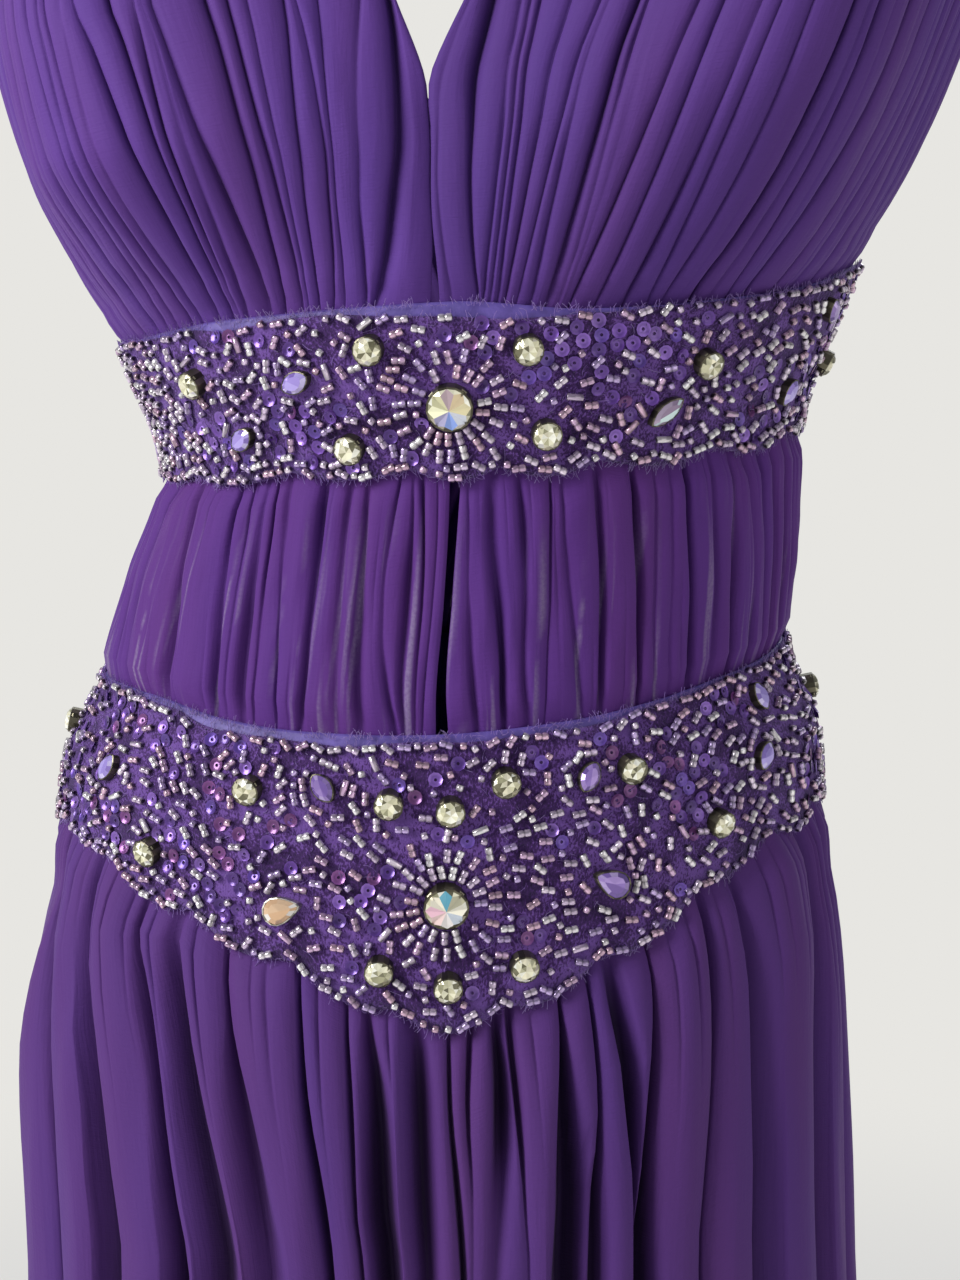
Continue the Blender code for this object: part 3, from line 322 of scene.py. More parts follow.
# Its back on the right, with fewer levels; the left one is the same, mirrored
BACK_PARTS = (0.0, 0.5, 1.0)
MIDRIFF_BACK = (
    Crease((96.0, 95.5, 96.0), 1.8, 1.2, 1.2),
    Crease((102.5, 103.0, 102.5), 2.6, 1.8, 1.0, -0.3),
    Crease((109.5, 110.0, 110.0), 1.6, 1.2, 1.2),
    Crease((116.5, 115.5, 116.0), (2.6, 2.0, 2.6), 1.8, 1.0, -0.4),
    Crease((122.0, 122.5, 122.0), 1.4, 1.2, 1.2),
    Crease((128.5, 129.5, 129.0), (2.8, 2.2, 2.6), 1.8, 1.0, -0.4),
    Crease((135.5, 136.0, 136.0), 1.6, 1.2, 1.2),
    Crease((142.0, 141.0, 142.0), (2.6, 2.0, 2.8), 1.8, 1.0, -0.4),
    Crease((149.0, 149.5, 149.0), 1.4, 1.2, 1.2),
    Crease((155.5, 156.0, 156.0), (2.4, 2.0, 2.6), 1.8, 1.0, -0.3),
    Crease((162.5, 162.0, 163.0), 1.6, 1.2, 1.2),
    Crease((169.0, 169.5, 169.5), 2.2, 1.4, 1.0),
    Crease((175.0, 175.0, 175.0), 1.4, 1.0, 1.0),
)

# Skirt front, in the same way, at these heights in metres
SKIRT_LEVELS = (-0.450, -0.470, -0.503, -0.536, -0.562, -0.900, -1.430)
SKIRT_FRONT = (
    valley((-84.5, -84.5, -84.5, -84.5, -84.5, -84, -84),
           (1.6, 2, 2.4, 3, 3, 5, 7), (3, 4, 5, 6, 7, 11, 15)),
    valley((-77, -77.5, -78, -77, -75, -76, -76), (1.2, 1.4, 2.2, 3, 3, 4, 6), (3, 4, 5, 5, 5, 8, 13)),
    valley((-70, -66, -61.5, -59.5, -58.5, -60, -61), (3, 4, 3, 1.6, 1, 3, 5), (3, 5, 4.5, 4, 3, 8, 13)),
    valley((-57, -54, -49, -46.5, -45, -46, -48),
           (2.2, 4.2, 6.8, 10.4, 12.4, 9, 9), (4, 6, 8, 8, 8, 11, 15)),
    valley((-45, -41.5, -37, -35, -33.5, -36, -38),
           (1.2, 2.6, 1.8, 2.8, 3.4, 5, 6), (4, 6, 8, 9, 9, 12, 15)),
    valley((-38, -35.5, -32, -29, -27.5, -29.5, -31),
           (3, 4.6, 6, 6.4, 7, 7, 7), (4, 7, 7.5, 7.5, 7.5, 11, 15)),
    valley((-30, -28, -25, -22.5, -21, -23, -25),
           (0.8, 0.8, 3.2, 4.8, 6.2, 6, 7), (3, 5, 6, 6, 5, 10, 14)),
    valley((-20, -18.5, -16.5, -14.5, -13.5, -15, -17),
           (0.8, 0.8, 1.2, 1.6, 1.2, 3.6, 5), (3, 5, 7, 7, 6.5, 9, 13)),
    valley((-13.5, -12.5, -11, -10.5, -9.5, -11.5, -13),
           (0.6, 0.6, 0.8, 0.6, 0.6, 2.4, 4.4), (3, 4, 4.5, 4, 3.5, 7, 12)),
    valley((-11, -10, -8, -7.5, -6.5, -8, -9.5), (1, 1.2, 4, 5, 5, 6, 7), (3, 5, 9, 11, 11, 12, 15)),
    valley((-4.5, -4, -3, -2.5, -2, -3, -4), (2, 3, 4, 4, 3.2, 5, 6), (3.5, 6, 8, 8, 7, 11, 15)),
    valley((-0.5, 0, 0.5, 1.5, 2, 1, 0.5), (0.6, 0.6, 0.6, 0.8, 0.8, 3, 5), (3, 4, 5.5, 7, 7, 9, 13)),
    valley((3.5, 3, 2.5, 3, 3, 3.5, 3.5), (1, 1, 0.6, 0.4, 0.4, 1, 2), (4, 6, 4, 0, 0, 1, 3)),
    valley((5, 5.5, 6.5, 6, 5.5, 6, 6.5), (1.4, 1.6, 2.6, 2.8, 2.4, 3, 4), (4, 7, 10, 3, 1.5, 4, 8)),
    valley((7.5, 7.5, 8.5, 9, 9.5, 9.5, 10), (1.2, 1.2, 1, 0.4, 0.4, 1.6, 3), (4, 7, 6.5, 1, 0.5, 3, 6)),
    valley((14, 14, 14.5, 15, 14.5, 15, 15.5),
           (0.6, 0.6, 2.4, 4.4, 4.8, 6, 7), (4, 6, 11, 13, 13, 13, 15)),
    valley((17.5, 18, 18.5, 18, 18, 19, 20.5),
           (0.6, 0.6, 0.6, 1.8, 2.4, 4, 5), (3, 4, 6, 9, 10, 11, 14)),
    valley((21, 21.5, 23, 23, 23, 24, 25.5), (2.4, 2.8, 2.8, 1.2, 1.2, 3, 5), (4, 7, 10, 7, 5, 9, 13)),
    valley((26.5, 26.5, 26, 25, 24.5, 27, 30),
           (0.4, 0.6, 1.6, 2.2, 2.8, 4, 6), (3, 5, 10, 12, 12, 12, 14)),
    valley((36.5, 36, 35, 33.5, 32.5, 34, 36.5),
           (1.8, 1.6, 0.8, 0.6, 0.6, 3, 5), (4.5, 6, 7.5, 7.5, 7.5, 9, 14)),
    valley((42.5, 43, 43, 43, 42.5, 43.5, 45),
           (1.8, 3.8, 6.6, 8.8, 10, 8, 8), (4, 4.5, 5, 5.5, 5.5, 9, 13)),
    valley((62, 60.5, 58, 57, 56.5, 57, 58), (3.6, 4.6, 6.4, 8.2, 9, 8, 8), (4, 5.5, 6.5, 7, 7, 10, 14)),
    valley((71, 70.5, 70, 69, 68.5, 69, 70), (2.6, 3, 3.4, 3.4, 3, 5, 6), (4, 5, 5, 4.5, 4, 8, 13)),
    valley((79.5, 79, 79, 79, 79, 79, 79), (1.6, 1.6, 2, 2, 2, 4, 6), (3, 4, 4, 4, 4, 9, 14)),
    valley((86.5, 86.5, 86.5, 86.5, 86.5, 86.5, 86.5),
           (1.4, 1.6, 2, 2, 2, 4, 6), (3, 4, 5, 6, 6, 10, 14)),
)
# Its back on the right, in degrees, at fewer heights; the left one is the same, mirrored
BACK_LEVELS = (-0.450, -0.505, -0.565, -0.900, -1.430)
SKIRT_BACK = (
    Crease((94.5, 95.0, 95.0, 95.0, 95.0), (3.0, 5.0, 6.0, 10.0, 15.0), 2.0, 2.4),
    Crease((101.5, 101.0, 101.0, 102.0, 102.0), (4.0, 7.0, 8.0, 12.0, 16.0), 2.4, 3.2),
    Crease((107.0, 108.0, 108.5, 109.0, 109.0), (3.5, 5.0, 6.0, 9.0, 14.0), 1.6, 2.0, 0.4),
    Crease((113.5, 114.0, 114.5, 116.0, 116.5), (4.0, 8.0, 10.0, 12.0, 17.0), 2.6, 3.6),
    Crease((121.0, 120.5, 121.0, 122.5, 123.0), (3.5, 4.5, 5.5, 9.0, 14.0), 1.4, 1.8, 0.3),
    Crease((126.0, 127.0, 127.5, 129.0, 130.0), (4.0, 7.5, 9.0, 11.0, 15.0), 2.4, 3.0),
    Crease((133.0, 133.5, 134.5, 136.0, 137.0), (4.0, 5.0, 6.0, 10.0, 15.0), 1.6, 2.0, -0.3),
    Crease((138.5, 140.0, 141.5, 143.0, 144.0), (4.0, 8.0, 9.5, 12.0, 16.0), 2.6, 3.4),
    Crease((145.5, 146.0, 147.0, 149.0, 150.5), (3.5, 4.5, 5.0, 9.0, 14.0), 1.4, 1.8, -0.3),
    Crease((151.0, 152.0, 153.0, 155.0, 157.0), (4.0, 7.0, 9.0, 11.0, 15.0), 2.4, 2.8),
    Crease((157.5, 158.5, 160.0, 162.0, 163.0), (3.5, 5.0, 6.0, 9.0, 14.0), 1.6, 2.0, 0.3),
    Crease((164.0, 165.0, 166.0, 167.5, 168.5), (4.0, 7.5, 9.0, 11.0, 16.0), 2.4, 3.0),
    Crease((170.5, 171.0, 171.5, 172.5, 173.0), (3.5, 5.0, 6.0, 9.0, 14.0), 1.6, 2.0),
    Crease((176.5, 176.5, 177.0, 177.0, 177.0), (3.0, 5.0, 7.0, 10.0, 14.0), 1.8, 1.8),
)

# Skirt: how far the cloth stands off the form at these distances below the belt
Drop = namedtuple("Drop", "below out")
DROPS = (
    Drop(0.0, TUCK_OUT),
    Drop(0.010, 0.0058),
    Drop(0.035, 0.0088),
    Drop(0.150, 0.0100),
    Drop(0.480, 0.0115),
    Drop(SKIRT_LENGTH, 0.0130),
)

# Stones. Each place is an angle and a height on the form and, for a long stone, how many degrees
# its long axis leans from upright
Stone = namedtuple("Stone", "name belt kind angle z lean", defaults=(0,))


def stones(stem, belt, kind, *places):
    """Stones of one kind, numbered from the left where there are several."""
    names = [f"{stem}_{k + 1}" for k in range(len(places))] if len(places) > 1 else [stem]
    return [Stone(name, belt, kind, *place) for name, place in zip(names, places)]


STONES = (
    *stones("upper_round_stone", UPPER_BELT, "large", (0.0, -0.279)),
    *stones("upper_crystal", UPPER_BELT, "crystal", (-43.5, -0.264), (-11.0, -0.259),
            (11.0, -0.264), (40.0, -0.274), (-16.0, -0.29), (14.5, -0.29), (85.0, -0.279)),
    *stones("upper_oval", UPPER_BELT, "oval", (-36.0, -0.285, 60), (-23.0, -0.267, 70),
            (64.0, -0.286, 40), (70.0, -0.263, -40)),
    *stones("upper_navette", UPPER_BELT, "navette", (34.0, -0.287, 55)),
    *stones("upper_back_crystal", UPPER_BELT, "crystal", (-152.0, -0.27), (-118.0, -0.278),
            (118.0, -0.27), (152.0, -0.278)),
    *stones("hip_round_stone", HIP_BELT, "large", (0.0, -0.437)),
    *stones("hip_crystal", HIP_BELT, "crystal", (-86.0, -0.393), (-44.0, -0.423), (-27.0, -0.4),
            (-7.0, -0.404), (1.0, -0.407), (8.5, -0.399), (26.5, -0.399), (40.5, -0.422),
            (87.0, -0.393), (-8.5, -0.457), (0.0, -0.463), (9.5, -0.458)),
    *stones("hip_drop", HIP_BELT, "drop", (-21.5, -0.438, 75), (22.0, -0.435, -60)),
    *stones("hip_oval", HIP_BELT, "oval", (-55.5, -0.399, 30), (-16.0, -0.399, -35),
            (20.0, -0.4, 30), (51.5, -0.404, 35), (56.0, -0.385, -20)),
    *stones("hip_back_crystal", HIP_BELT, "crystal", (-146.0, -0.418), (-116.0, -0.4),
            (116.0, -0.4), (146.0, -0.418)),
)

# The sizes of each kind of stone; taper: how much narrower one end is than the middle
Cut = namedtuple("Cut", "length width height taper", defaults=(0.0,))
CUTS = {
    "large": Cut(0.0145, 0.0145, 0.0055),
    "crystal": Cut(0.0094, 0.0094, 0.0055),
    "oval": Cut(0.0105, 0.0070, 0.0040),
    "drop": Cut(0.0130, 0.0085, 0.0045, taper=0.45),
    "navette": Cut(0.0135, 0.0062, 0.0042),
}

# Camera, at the photograph's angle
CAMERA_AT = (0.004, -0.660, -0.254)
CAMERA_PITCH = -10.0         # degrees; below zero it looks down
CAMERA_LENS = 51.2           # millimetres, on a sensor 36 wide
FLOOR_Z = -1.455


# Curves, noise and the form

def smooth(at, knots, values):
    """Read a curve through rising knots that never overshoots its values."""
    knots = np.asarray(knots, float)
    values = np.asarray(values, float)
    at = np.clip(np.asarray(at, float), knots[0], knots[-1])
    gap = np.diff(knots)
    steep = np.diff(values) / gap
    slope = np.concatenate(([steep[0]], np.zeros(len(steep) - 1), [steep[-1]]))
    both = steep[:-1] * steep[1:] > 0
    total = np.where(both, steep[:-1] + steep[1:], 1.0)
    slope[1:-1] = np.where(both, 2 * steep[:-1] * steep[1:] / total, 0.0)
    left = np.clip(np.searchsorted(knots, at, side="right") - 1, 0, len(gap) - 1)
    t = (at - knots[left]) / gap[left]
    start = values[left] * (1 + 2 * t) * (1 - t) ** 2
    end = values[left + 1] * t * t * (3 - 2 * t)
    lean = slope[left] * t * (1 - t) ** 2 - slope[left + 1] * t * t * (1 - t)
    return start + end + gap[left] * lean


def read(table, key, name, at):
    """Read one named column of a table whose rows rise in another."""
    return smooth(at, [getattr(row, key) for row in table], [getattr(row, name) for row in table])


def ease(t):
    """A soft step from 0 to 1."""
    t = np.clip(t, 0, 1)
    return t * t * (3 - 2 * t)


def ripple(seed, across, along):
    """Smooth noise from -1 to 1 over places counted in waves."""
    table = np.random.default_rng(seed).uniform(-1, 1, (211, 97))
    across, along = np.broadcast_arrays(np.asarray(across, float), np.asarray(along, float))
    i, j = np.floor(across).astype(int), np.floor(along).astype(int)
    u, w = ease(across - i), ease(along - j)
    rows, cols = table.shape
    near = table[i % rows, j % cols] * (1 - u) + table[(i + 1) % rows, j % cols] * u
    far = table[i % rows, (j + 1) % cols] * (1 - u) + table[(i + 1) % rows, (j + 1) % cols] * u
    return near * (1 - w) + far * w


def stand(points):
    """Turn, tilt and shift upright points into the worn stance."""
    x, y, z = points[..., 0], points[..., 1], points[..., 2]
    turn = np.radians(read(STANCE, "z", "turn", z))
    tilt = np.radians(read(STANCE, "z", "tilt", z))
    across = x * np.cos(turn) - y * np.sin(turn)
    along = x * np.sin(turn) + y * np.cos(turn)
    shift = read(STANCE, "z", "shift", z)
    return np.stack((across + shift, along, z + across * np.tan(tilt)), axis=-1)


def on_form(angle, z, out):
    """Upright points at an angle in degrees from the centre front, a distance off the form."""
    angle, z, out = np.broadcast_arrays(np.radians(angle), z, out)
    width = read(FORM, "z", "half_width", z) + out
    depth = np.where(np.cos(angle) > 0, read(FORM, "z", "front", z), read(FORM, "z", "back", z))
    return np.stack((width * np.sin(angle), -(depth + out) * np.cos(angle), z), axis=-1)


def edge(name, angle):
    """Height of a belt's edge at an angle."""
    return read(EDGES, "angle", name, angle)


def lower_edge(belt, angle):
    """Height of a belt's scalloped lower edge."""
    notches = [-a for a in reversed(BACK_NOTCHES)] + list(belt.notches) + list(BACK_NOTCHES)
    notches = np.array(notches, float)
    left = np.clip(np.searchsorted(notches, angle, side="right") - 1, 0, len(notches) - 2)
    part = (angle - notches[left]) / (notches[left + 1] - notches[left])
    return edge(belt.bottom, angle) - belt.scallop * np.sin(math.pi * part)


# Materials

def new_material(name, **sockets):
    """A Principled material with plain values on its sockets; returns it, its tree and shader."""
    made = bpy.data.materials.new(name)
    made.use_nodes = True
    shader = made.node_tree.nodes["Principled BSDF"]
    for key, value in sockets.items():
        shader.inputs[key.replace("_", " ")].default_value = value
    return made, made.node_tree, shader


def node(tree, kind, values=(), **settings):
    """Add a node, with some inputs set by name and its own settings."""
    made = tree.nodes.new(kind)
    for key, value in dict(values).items():
        made.inputs[key].default_value = value
    for key, value in settings.items():
        setattr(made, key, value)
    return made


def attribute(tree, name, output="Fac"):
    """Read a named attribute of the mesh."""
    return node(tree, "ShaderNodeAttribute", attribute_name=name).outputs[output]


def compute(tree, operation, *inputs, clamp=False):
    """The result of a math node whose inputs are sockets or plain numbers."""
    made = node(tree, "ShaderNodeMath", operation=operation, use_clamp=clamp)
    for socket, value in zip(made.inputs, inputs):
        if isinstance(value, float):
            socket.default_value = value
        else:
            tree.links.new(value, socket)
    return made.outputs[0]


def ramp(tree, factor, stops):
    """A colour ramp read by a factor."""
    made = tree.nodes.new("ShaderNodeValToRGB")
    elements = made.color_ramp.elements
    while len(elements) < len(stops):
        elements.new(0.5)
    for element, (place, colour) in zip(elements, stops):
        element.position = place
        element.color = (*colour, 1.0)
    tree.links.new(factor, made.inputs[0])
    return made.outputs["Color"]


def stretched_noise(tree, across, along, detail=2.0):
    """Noise over the cloth's own two directions, in waves per metre."""
    place = node(tree, "ShaderNodeCombineXYZ")
    for socket, name, waves in (("X", "across", across), ("Y", "along", along)):
        tree.links.new(compute(tree, "MULTIPLY", attribute(tree, name), waves), place.inputs[socket])
    noise = node(tree, "ShaderNodeTexNoise", {"Scale": 1.0, "Detail": detail, "Roughness": 0.6})
    tree.links.new(place.outputs[0], noise.inputs["Vector"])
    return noise.outputs["Fac"]


def bump(tree, shader, heights):
    """Chain bumps of (height socket, strength, distance in metres) into the shader's normal."""
    last = None
    for height, strength, distance in heights:
        made = node(tree, "ShaderNodeBump", {"Strength": strength, "Distance": distance})
        tree.links.new(height, made.inputs["Height"])
        if last is not None:
            tree.links.new(last, made.inputs["Normal"])
        last = made.outputs["Normal"]
    tree.links.new(last, shader.inputs["Normal"])


# Chiffon colours. The crease shades are painted shade at the bottoms of creases; the ramp from them
# through mid to light is painted shade across each fold.
CHIFFON_CREASE_SHADE = (0.026, 0.0085, 0.070)
SKIRT_CREASE_SHADE = (0.009, 0.003, 0.022)
CHIFFON_MID = (0.055, 0.0185, 0.126)
CHIFFON_LIGHT = (0.076, 0.0275, 0.168)
CHIFFON_SHEER = (0.190, 0.140, 0.260)
COLOUR_A, COLOUR_B, COLOUR_OUT = 6, 7, 2     # sockets of a Mix node that mixes colours


def chiffon_material(name, tone, deep=CHIFFON_CREASE_SHADE, sheer=0.0):
    """Purple crepe chiffon with painted shade: darker in the creases and at the feet of folds, paler where
    a single layer shows.
    """
    made, tree, shader = new_material(
        name, Roughness=0.72, Specular_IOR_Level=0.14, Sheen_Weight=0.10, Sheen_Roughness=0.4,
        Sheen_Tint=(0.66, 0.44, 0.95, 1.0))
    mottle = stretched_noise(tree, 260.0, 14.0, 3.0)
    # The fold attribute is painted shade, darker in creases and at the feet of folds; the mottle is uneven
    # colour in the cloth.
    painted_shade_and_mottle = compute(tree, "MULTIPLY_ADD", mottle, 0.30, attribute(tree, "fold"))
    # Each material's own tone; the bodice's left material is also painted lighter than its right, as
    # painted light from the key on the left
    stops = [(place, tuple(np.multiply(shade, tone)))
             for place, shade in ((0.08, deep), (0.60, CHIFFON_MID), (1.0, CHIFFON_LIGHT))]
    warmth = ramp(tree, stretched_noise(tree, 22.0, 4.0, 2.0),
                  [(0.35, (0.96, 1.00, 1.03)), (0.65, (1.05, 0.97, 0.93))])
    warmed = node(tree, "ShaderNodeMix", {"Factor": 1.0}, data_type="RGBA", blend_type="MULTIPLY")
    tree.links.new(ramp(tree, painted_shade_and_mottle, stops), warmed.inputs[COLOUR_A])
    tree.links.new(warmth, warmed.inputs[COLOUR_B])
    colour = warmed.outputs[COLOUR_OUT]
    if sheer:
        amount = compute(tree, "MULTIPLY", attribute(tree, "thin"), sheer, clamp=True)
        grain = compute(tree, "MULTIPLY", stretched_noise(tree, 900.0, 900.0, 2.0), 1.6, clamp=True)
        blend = node(tree, "ShaderNodeMix", {COLOUR_B: (*CHIFFON_SHEER, 1.0)}, data_type="RGBA")
        tree.links.new(colour, blend.inputs[COLOUR_A])
        tree.links.new(compute(tree, "MULTIPLY", amount, grain, clamp=True), blend.inputs["Factor"])
        colour = blend.outputs[COLOUR_OUT]
    tree.links.new(colour, shader.inputs["Base Color"])
    crinkle = stretched_noise(tree, 900.0, 60.0, 3.0)
    weave = stretched_noise(tree, 240.0, 1500.0, 1.0)
    bump(tree, shader, [(crinkle, 0.30, 0.0006), (weave, 0.45, 0.00030)])
    return made


def satin_material():
    """Violet-blue satin, soft and a little brushed."""
    made, tree, shader = new_material(
        "violet_satin", Roughness=0.5, Specular_IOR_Level=0.4, Sheen_Weight=0.4,
        Sheen_Roughness=0.35, Sheen_Tint=(0.70, 0.62, 1.0, 1.0))
    cloud = stretched_noise(tree, 120.0, 120.0, 3.0)
    stops = [(0.3, (0.060, 0.036, 0.200)), (0.7, (0.130, 0.085, 0.370))]
    tree.links.new(ramp(tree, cloud, stops), shader.inputs["Base Color"])
    weave = stretched_noise(tree, 1800.0, 900.0, 2.0)
    bump(tree, shader, [(weave, 0.4, 0.0003)])
    return made


def lace_material():
    """Purple lace: a dark net with raised, paler threads."""
    made, tree, shader = new_material(
        "purple_lace", Roughness=0.85, Specular_IOR_Level=0.2, Sheen_Weight=0.3,
        Sheen_Roughness=0.5, Sheen_Tint=(0.6, 0.5, 0.95, 1.0))
    thread = stretched_noise(tree, 1150.0, 950.0, 5.0)
    cloud = stretched_noise(tree, 70.0, 70.0, 3.0)
    mixed = compute(tree, "MULTIPLY_ADD", cloud, 0.9, thread)
    stops = [(0.66, (0.014, 0.005, 0.034)), (0.95, (0.055, 0.018, 0.115)),
             (1.0, (0.135, 0.062, 0.280))]
    tree.links.new(ramp(tree, mixed, stops), shader.inputs["Base Color"])
    bump(tree, shader, [(thread, 0.9, 0.0009)])
    return made


def tinted_material(name, **sockets):
    """A material whose colour is painted on each small piece, with painted shade, glints and reflections
    in it.
    """
    made, tree, shader = new_material(name, **sockets)
    tree.links.new(attribute(tree, "tint", "Color"), shader.inputs["Base Color"])
    return made


# Meshes

def show(name, data):
    """Put an object with this data in the scene."""
    made = bpy.data.objects.new(name, data)
    bpy.context.scene.collection.objects.link(made)
    return made


def finish_piece(piece, slot, *replaced):
    """Let a piece ride on the gown and stand for its solids; its slot is not used."""
    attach(piece, BODY)
    if replaced:
        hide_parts(*replaced)


def add_mesh(name, points, faces, material, faceted=False, **attributes):
    """A mesh object from arrays, with float or colour attributes at its points."""
    mesh = bpy.data.meshes.new(name)
    mesh.from_pydata(points.tolist(), [], faces.tolist())
    for key, values in attributes.items():
        kind = "FLOAT" if values.ndim == 1 else "FLOAT_COLOR"
        layer = mesh.attributes.new(key, kind, "POINT")
        layer.data.foreach_set("value" if kind == "FLOAT" else "color", values.astype(np.float32).ravel())
    mesh.materials.append(material)
    if not faceted:
        mesh.shade_smooth()
    return show(name, mesh)


def grid_faces(rows, cols, turned=False):
    """Quads of a grid of points, rows by columns."""
    start = (np.arange(rows - 1)[:, None] * cols + np.arange(cols - 1)[None, :]).ravel()
    quads = np.stack((start, start + 1, start + cols + 1, start + cols), axis=1)
    return quads[:, ::-1] if turned else quads


def lengths(points):
    """How far each point of a grid lies across and along the cloth, in metres."""
    across = np.zeros(points.shape[:2])
    along = np.zeros(points.shape[:2])
    across[:, 1:] = np.cumsum(np.linalg.norm(np.diff(points, axis=1), axis=2), axis=1)
    along[1:] = np.cumsum(np.linalg.norm(np.diff(points, axis=0), axis=2), axis=0)
    return across.mean(axis=0)[None, :] + 0 * across, along.mean(axis=1)[:, None] + 0 * along


def outward(points, level_rows=0):
    """Unit normals of a grid that point away from the form's axis."""
    normal = np.cross(np.gradient(points, axis=1), np.gradient(points, axis=0))
    normal[:level_rows, :, 2] = 0
    normal /= np.linalg.norm(normal, axis=-1, keepdims=True) + 1e-12
    away = points.copy()
    away[..., 2] = 0.02
    return normal * np.sign(np.sum(normal * away, axis=-1, keepdims=True))


def add_cloth(name, points, material, fold, thin=None, thickness=SHELL):
    """A thin shell of cloth on a grid of worn points."""
    rows, cols = points.shape[:2]
    across, along = lengths(points)
    middle = points[rows // 2, cols // 2]
    a = points[rows // 2, cols // 2 + 1] - middle
    b = points[rows // 2 + 1, cols // 2] - middle
    turned = np.dot(np.cross(a, b), [middle[0], middle[1], 0]) < 0
    # fold is the painted shade that the chiffon's colour reads
    values = {"across": across.ravel(), "along": along.ravel(), "fold": fold.ravel()}
    if thin is not None:
        values["thin"] = thin.ravel()
    piece = add_mesh(name, points.reshape(-1, 3), grid_faces(rows, cols, turned), material, **values)
    shell = piece.modifiers.new("thickness", "SOLIDIFY")
    shell.thickness = thickness
    shell.offset = -1.0
    return piece


# Folds

MAIN_REACH = 99.0            # main creases run the whole length: their depth doesn't fade
SMOOTH_POWER = 1.35          # a dent fades from its crease as exp(-distance ** power)
WIDEST_SWELL = 0.04          # metres; a wider fold swells no more than one this wide
SIDE_SHADE = 0.85            # painted shade: how light the colour is at the foot of a fold, against its crest
NARROW_STEPS = (0.0, 0.4, 0.9, 1.6)                  # points beside a crease, in its half-widths
BROAD_STEPS = (0.0, 0.45, 0.75, 1.0, 1.25, 1.6)
NEAREST_HALF = 0.44          # those points take no more than this part of the span

# How a kind of piece gathers. unit: about how many metres 1.0 of its places is. depths, every and
# reach of its lesser creases: millimetres, metres of cloth for each, and parts of the piece's
# length. stray and apart: how far creases wander and how near they come, counted as its places
# are. step: metres between points. power: how steep the sides of its main creases are.
# full_shade: a dent this deep takes the darkest painted shade.
Weave = namedtuple("Weave", "unit depths every reach stray apart step power full_shade")
BODICE_WEAVE = Weave(0.20, (0.15, 0.7), 0.0055, (0.2, 0.5), 0.0006, 0.0022, 0.0024, SMOOTH_POWER, 0.005)
MIDRIFF_WEAVE = Weave(0.0024, (0.2, 0.8), 0.0050, (0.12, 0.40), 0.12, 0.30, 0.0022, 2.1, 0.0042)
SKIRT_WEAVE = Weave(0.0024, (0.8, 2.6), 0.0066, (0.012, 0.045), 0.30, 0.35, 0.0030, 2.6, 0.0080)

# What with_lesser finds. For each crease, its places, depths and half-widths at each level, then
# its roll, the part of the piece's length where it is deepest, and how far it reaches from there
Gathers = namedtuple("Gathers", "places depths left right roll middle reach")


def with_lesser(creases, weave, seed):
    """The creases with finer ones between those that stand far apart.

    A lesser crease is deepest at the top, at the foot or somewhere between, and fades from there.
    """
    rng = np.random.default_rng(seed)
    made = []
    for here, after in zip(creases[:-1], creases[1:]):
        made.append((here, 0.5, MAIN_REACH))
        a, b = np.array(here.places), np.array(after.places)
        width = np.mean(b - a) * weave.unit
        extra = int(width / weave.every - 0.6 + rng.uniform(-0.5, 0.5))
        for k in range(max(extra, 0)):
            part = (k + 1 + rng.uniform(-0.3, 0.3)) / (extra + 1)
            lean = rng.uniform(-0.12, 0.12) / (extra + 1)
            places = a + (b - a) * (part + lean * np.linspace(-1, 1, len(a)))
            deep = rng.uniform(*weave.depths)
            left, right = rng.uniform(0.5, 1.1, 2)
            lesser = Crease(tuple(places), deep, left, right, rng.uniform(-0.2, 0.2))
            middle = rng.choice([0.0, rng.uniform(0.15, 0.85), 1.0], p=[0.5, 0.3, 0.2])
            made.append((lesser, middle, rng.uniform(*weave.reach)))
    made.append((creases[-1], 0.5, MAIN_REACH))
    places = np.array([item[0].places for item in made])
    depths, left, right, roll = (
        np.array([np.broadcast_to(getattr(item[0], key), places.shape[1]) for item in made]) * MILLIMETRE
        for key in ("depths", "left", "right", "roll"))
    middle, reach = np.array([item[1:] for item in made]).T
    return Gathers(places, depths, left, right, roll[:, 0], middle, reach)


def even_run(levels, places):
    """The places of each crease drawn towards one smooth curve over the levels."""
    runs = [np.polyval(np.polyfit(levels, row, 3), levels) for row in places]
    return 0.25 * places + 0.75 * np.array(runs)


def at_levels(levels, values, level):
    """Read one curve for each crease (first axis of values) at the level of each row."""
    order = 1 if levels[1] > levels[0] else -1
    return np.stack([smooth(level[:, i] * order, np.array(levels) * order, row)
                     for i, row in enumerate(values)], axis=1)


def wander(place, amount, seed, along):
    """Let the creases between the first and the last one stray a little."""
    count = np.arange(place.shape[1])[None, :]
    inner = (count > 0) * (count < place.shape[1] - 1)
    return place + amount * ripple(seed, count * 0.9, along) * inner


def samples(half, span, broad):
    """Where to place points beside a crease, as parts of the span to the next one."""
    parts = np.array(BROAD_STEPS if broad else NARROW_STEPS) * (half / span)[:, None]
    return parts * np.minimum(1.0, NEAREST_HALF / parts[:, -1:])


def dent(distance, remaining, broad, power):
    """The share of a crease's depth at a distance from it, by the part of the fold that remains."""
    if broad:
        return np.exp(-distance ** power) * remaining ** 0.25
    return np.exp(-distance ** SMOOTH_POWER) * remaining


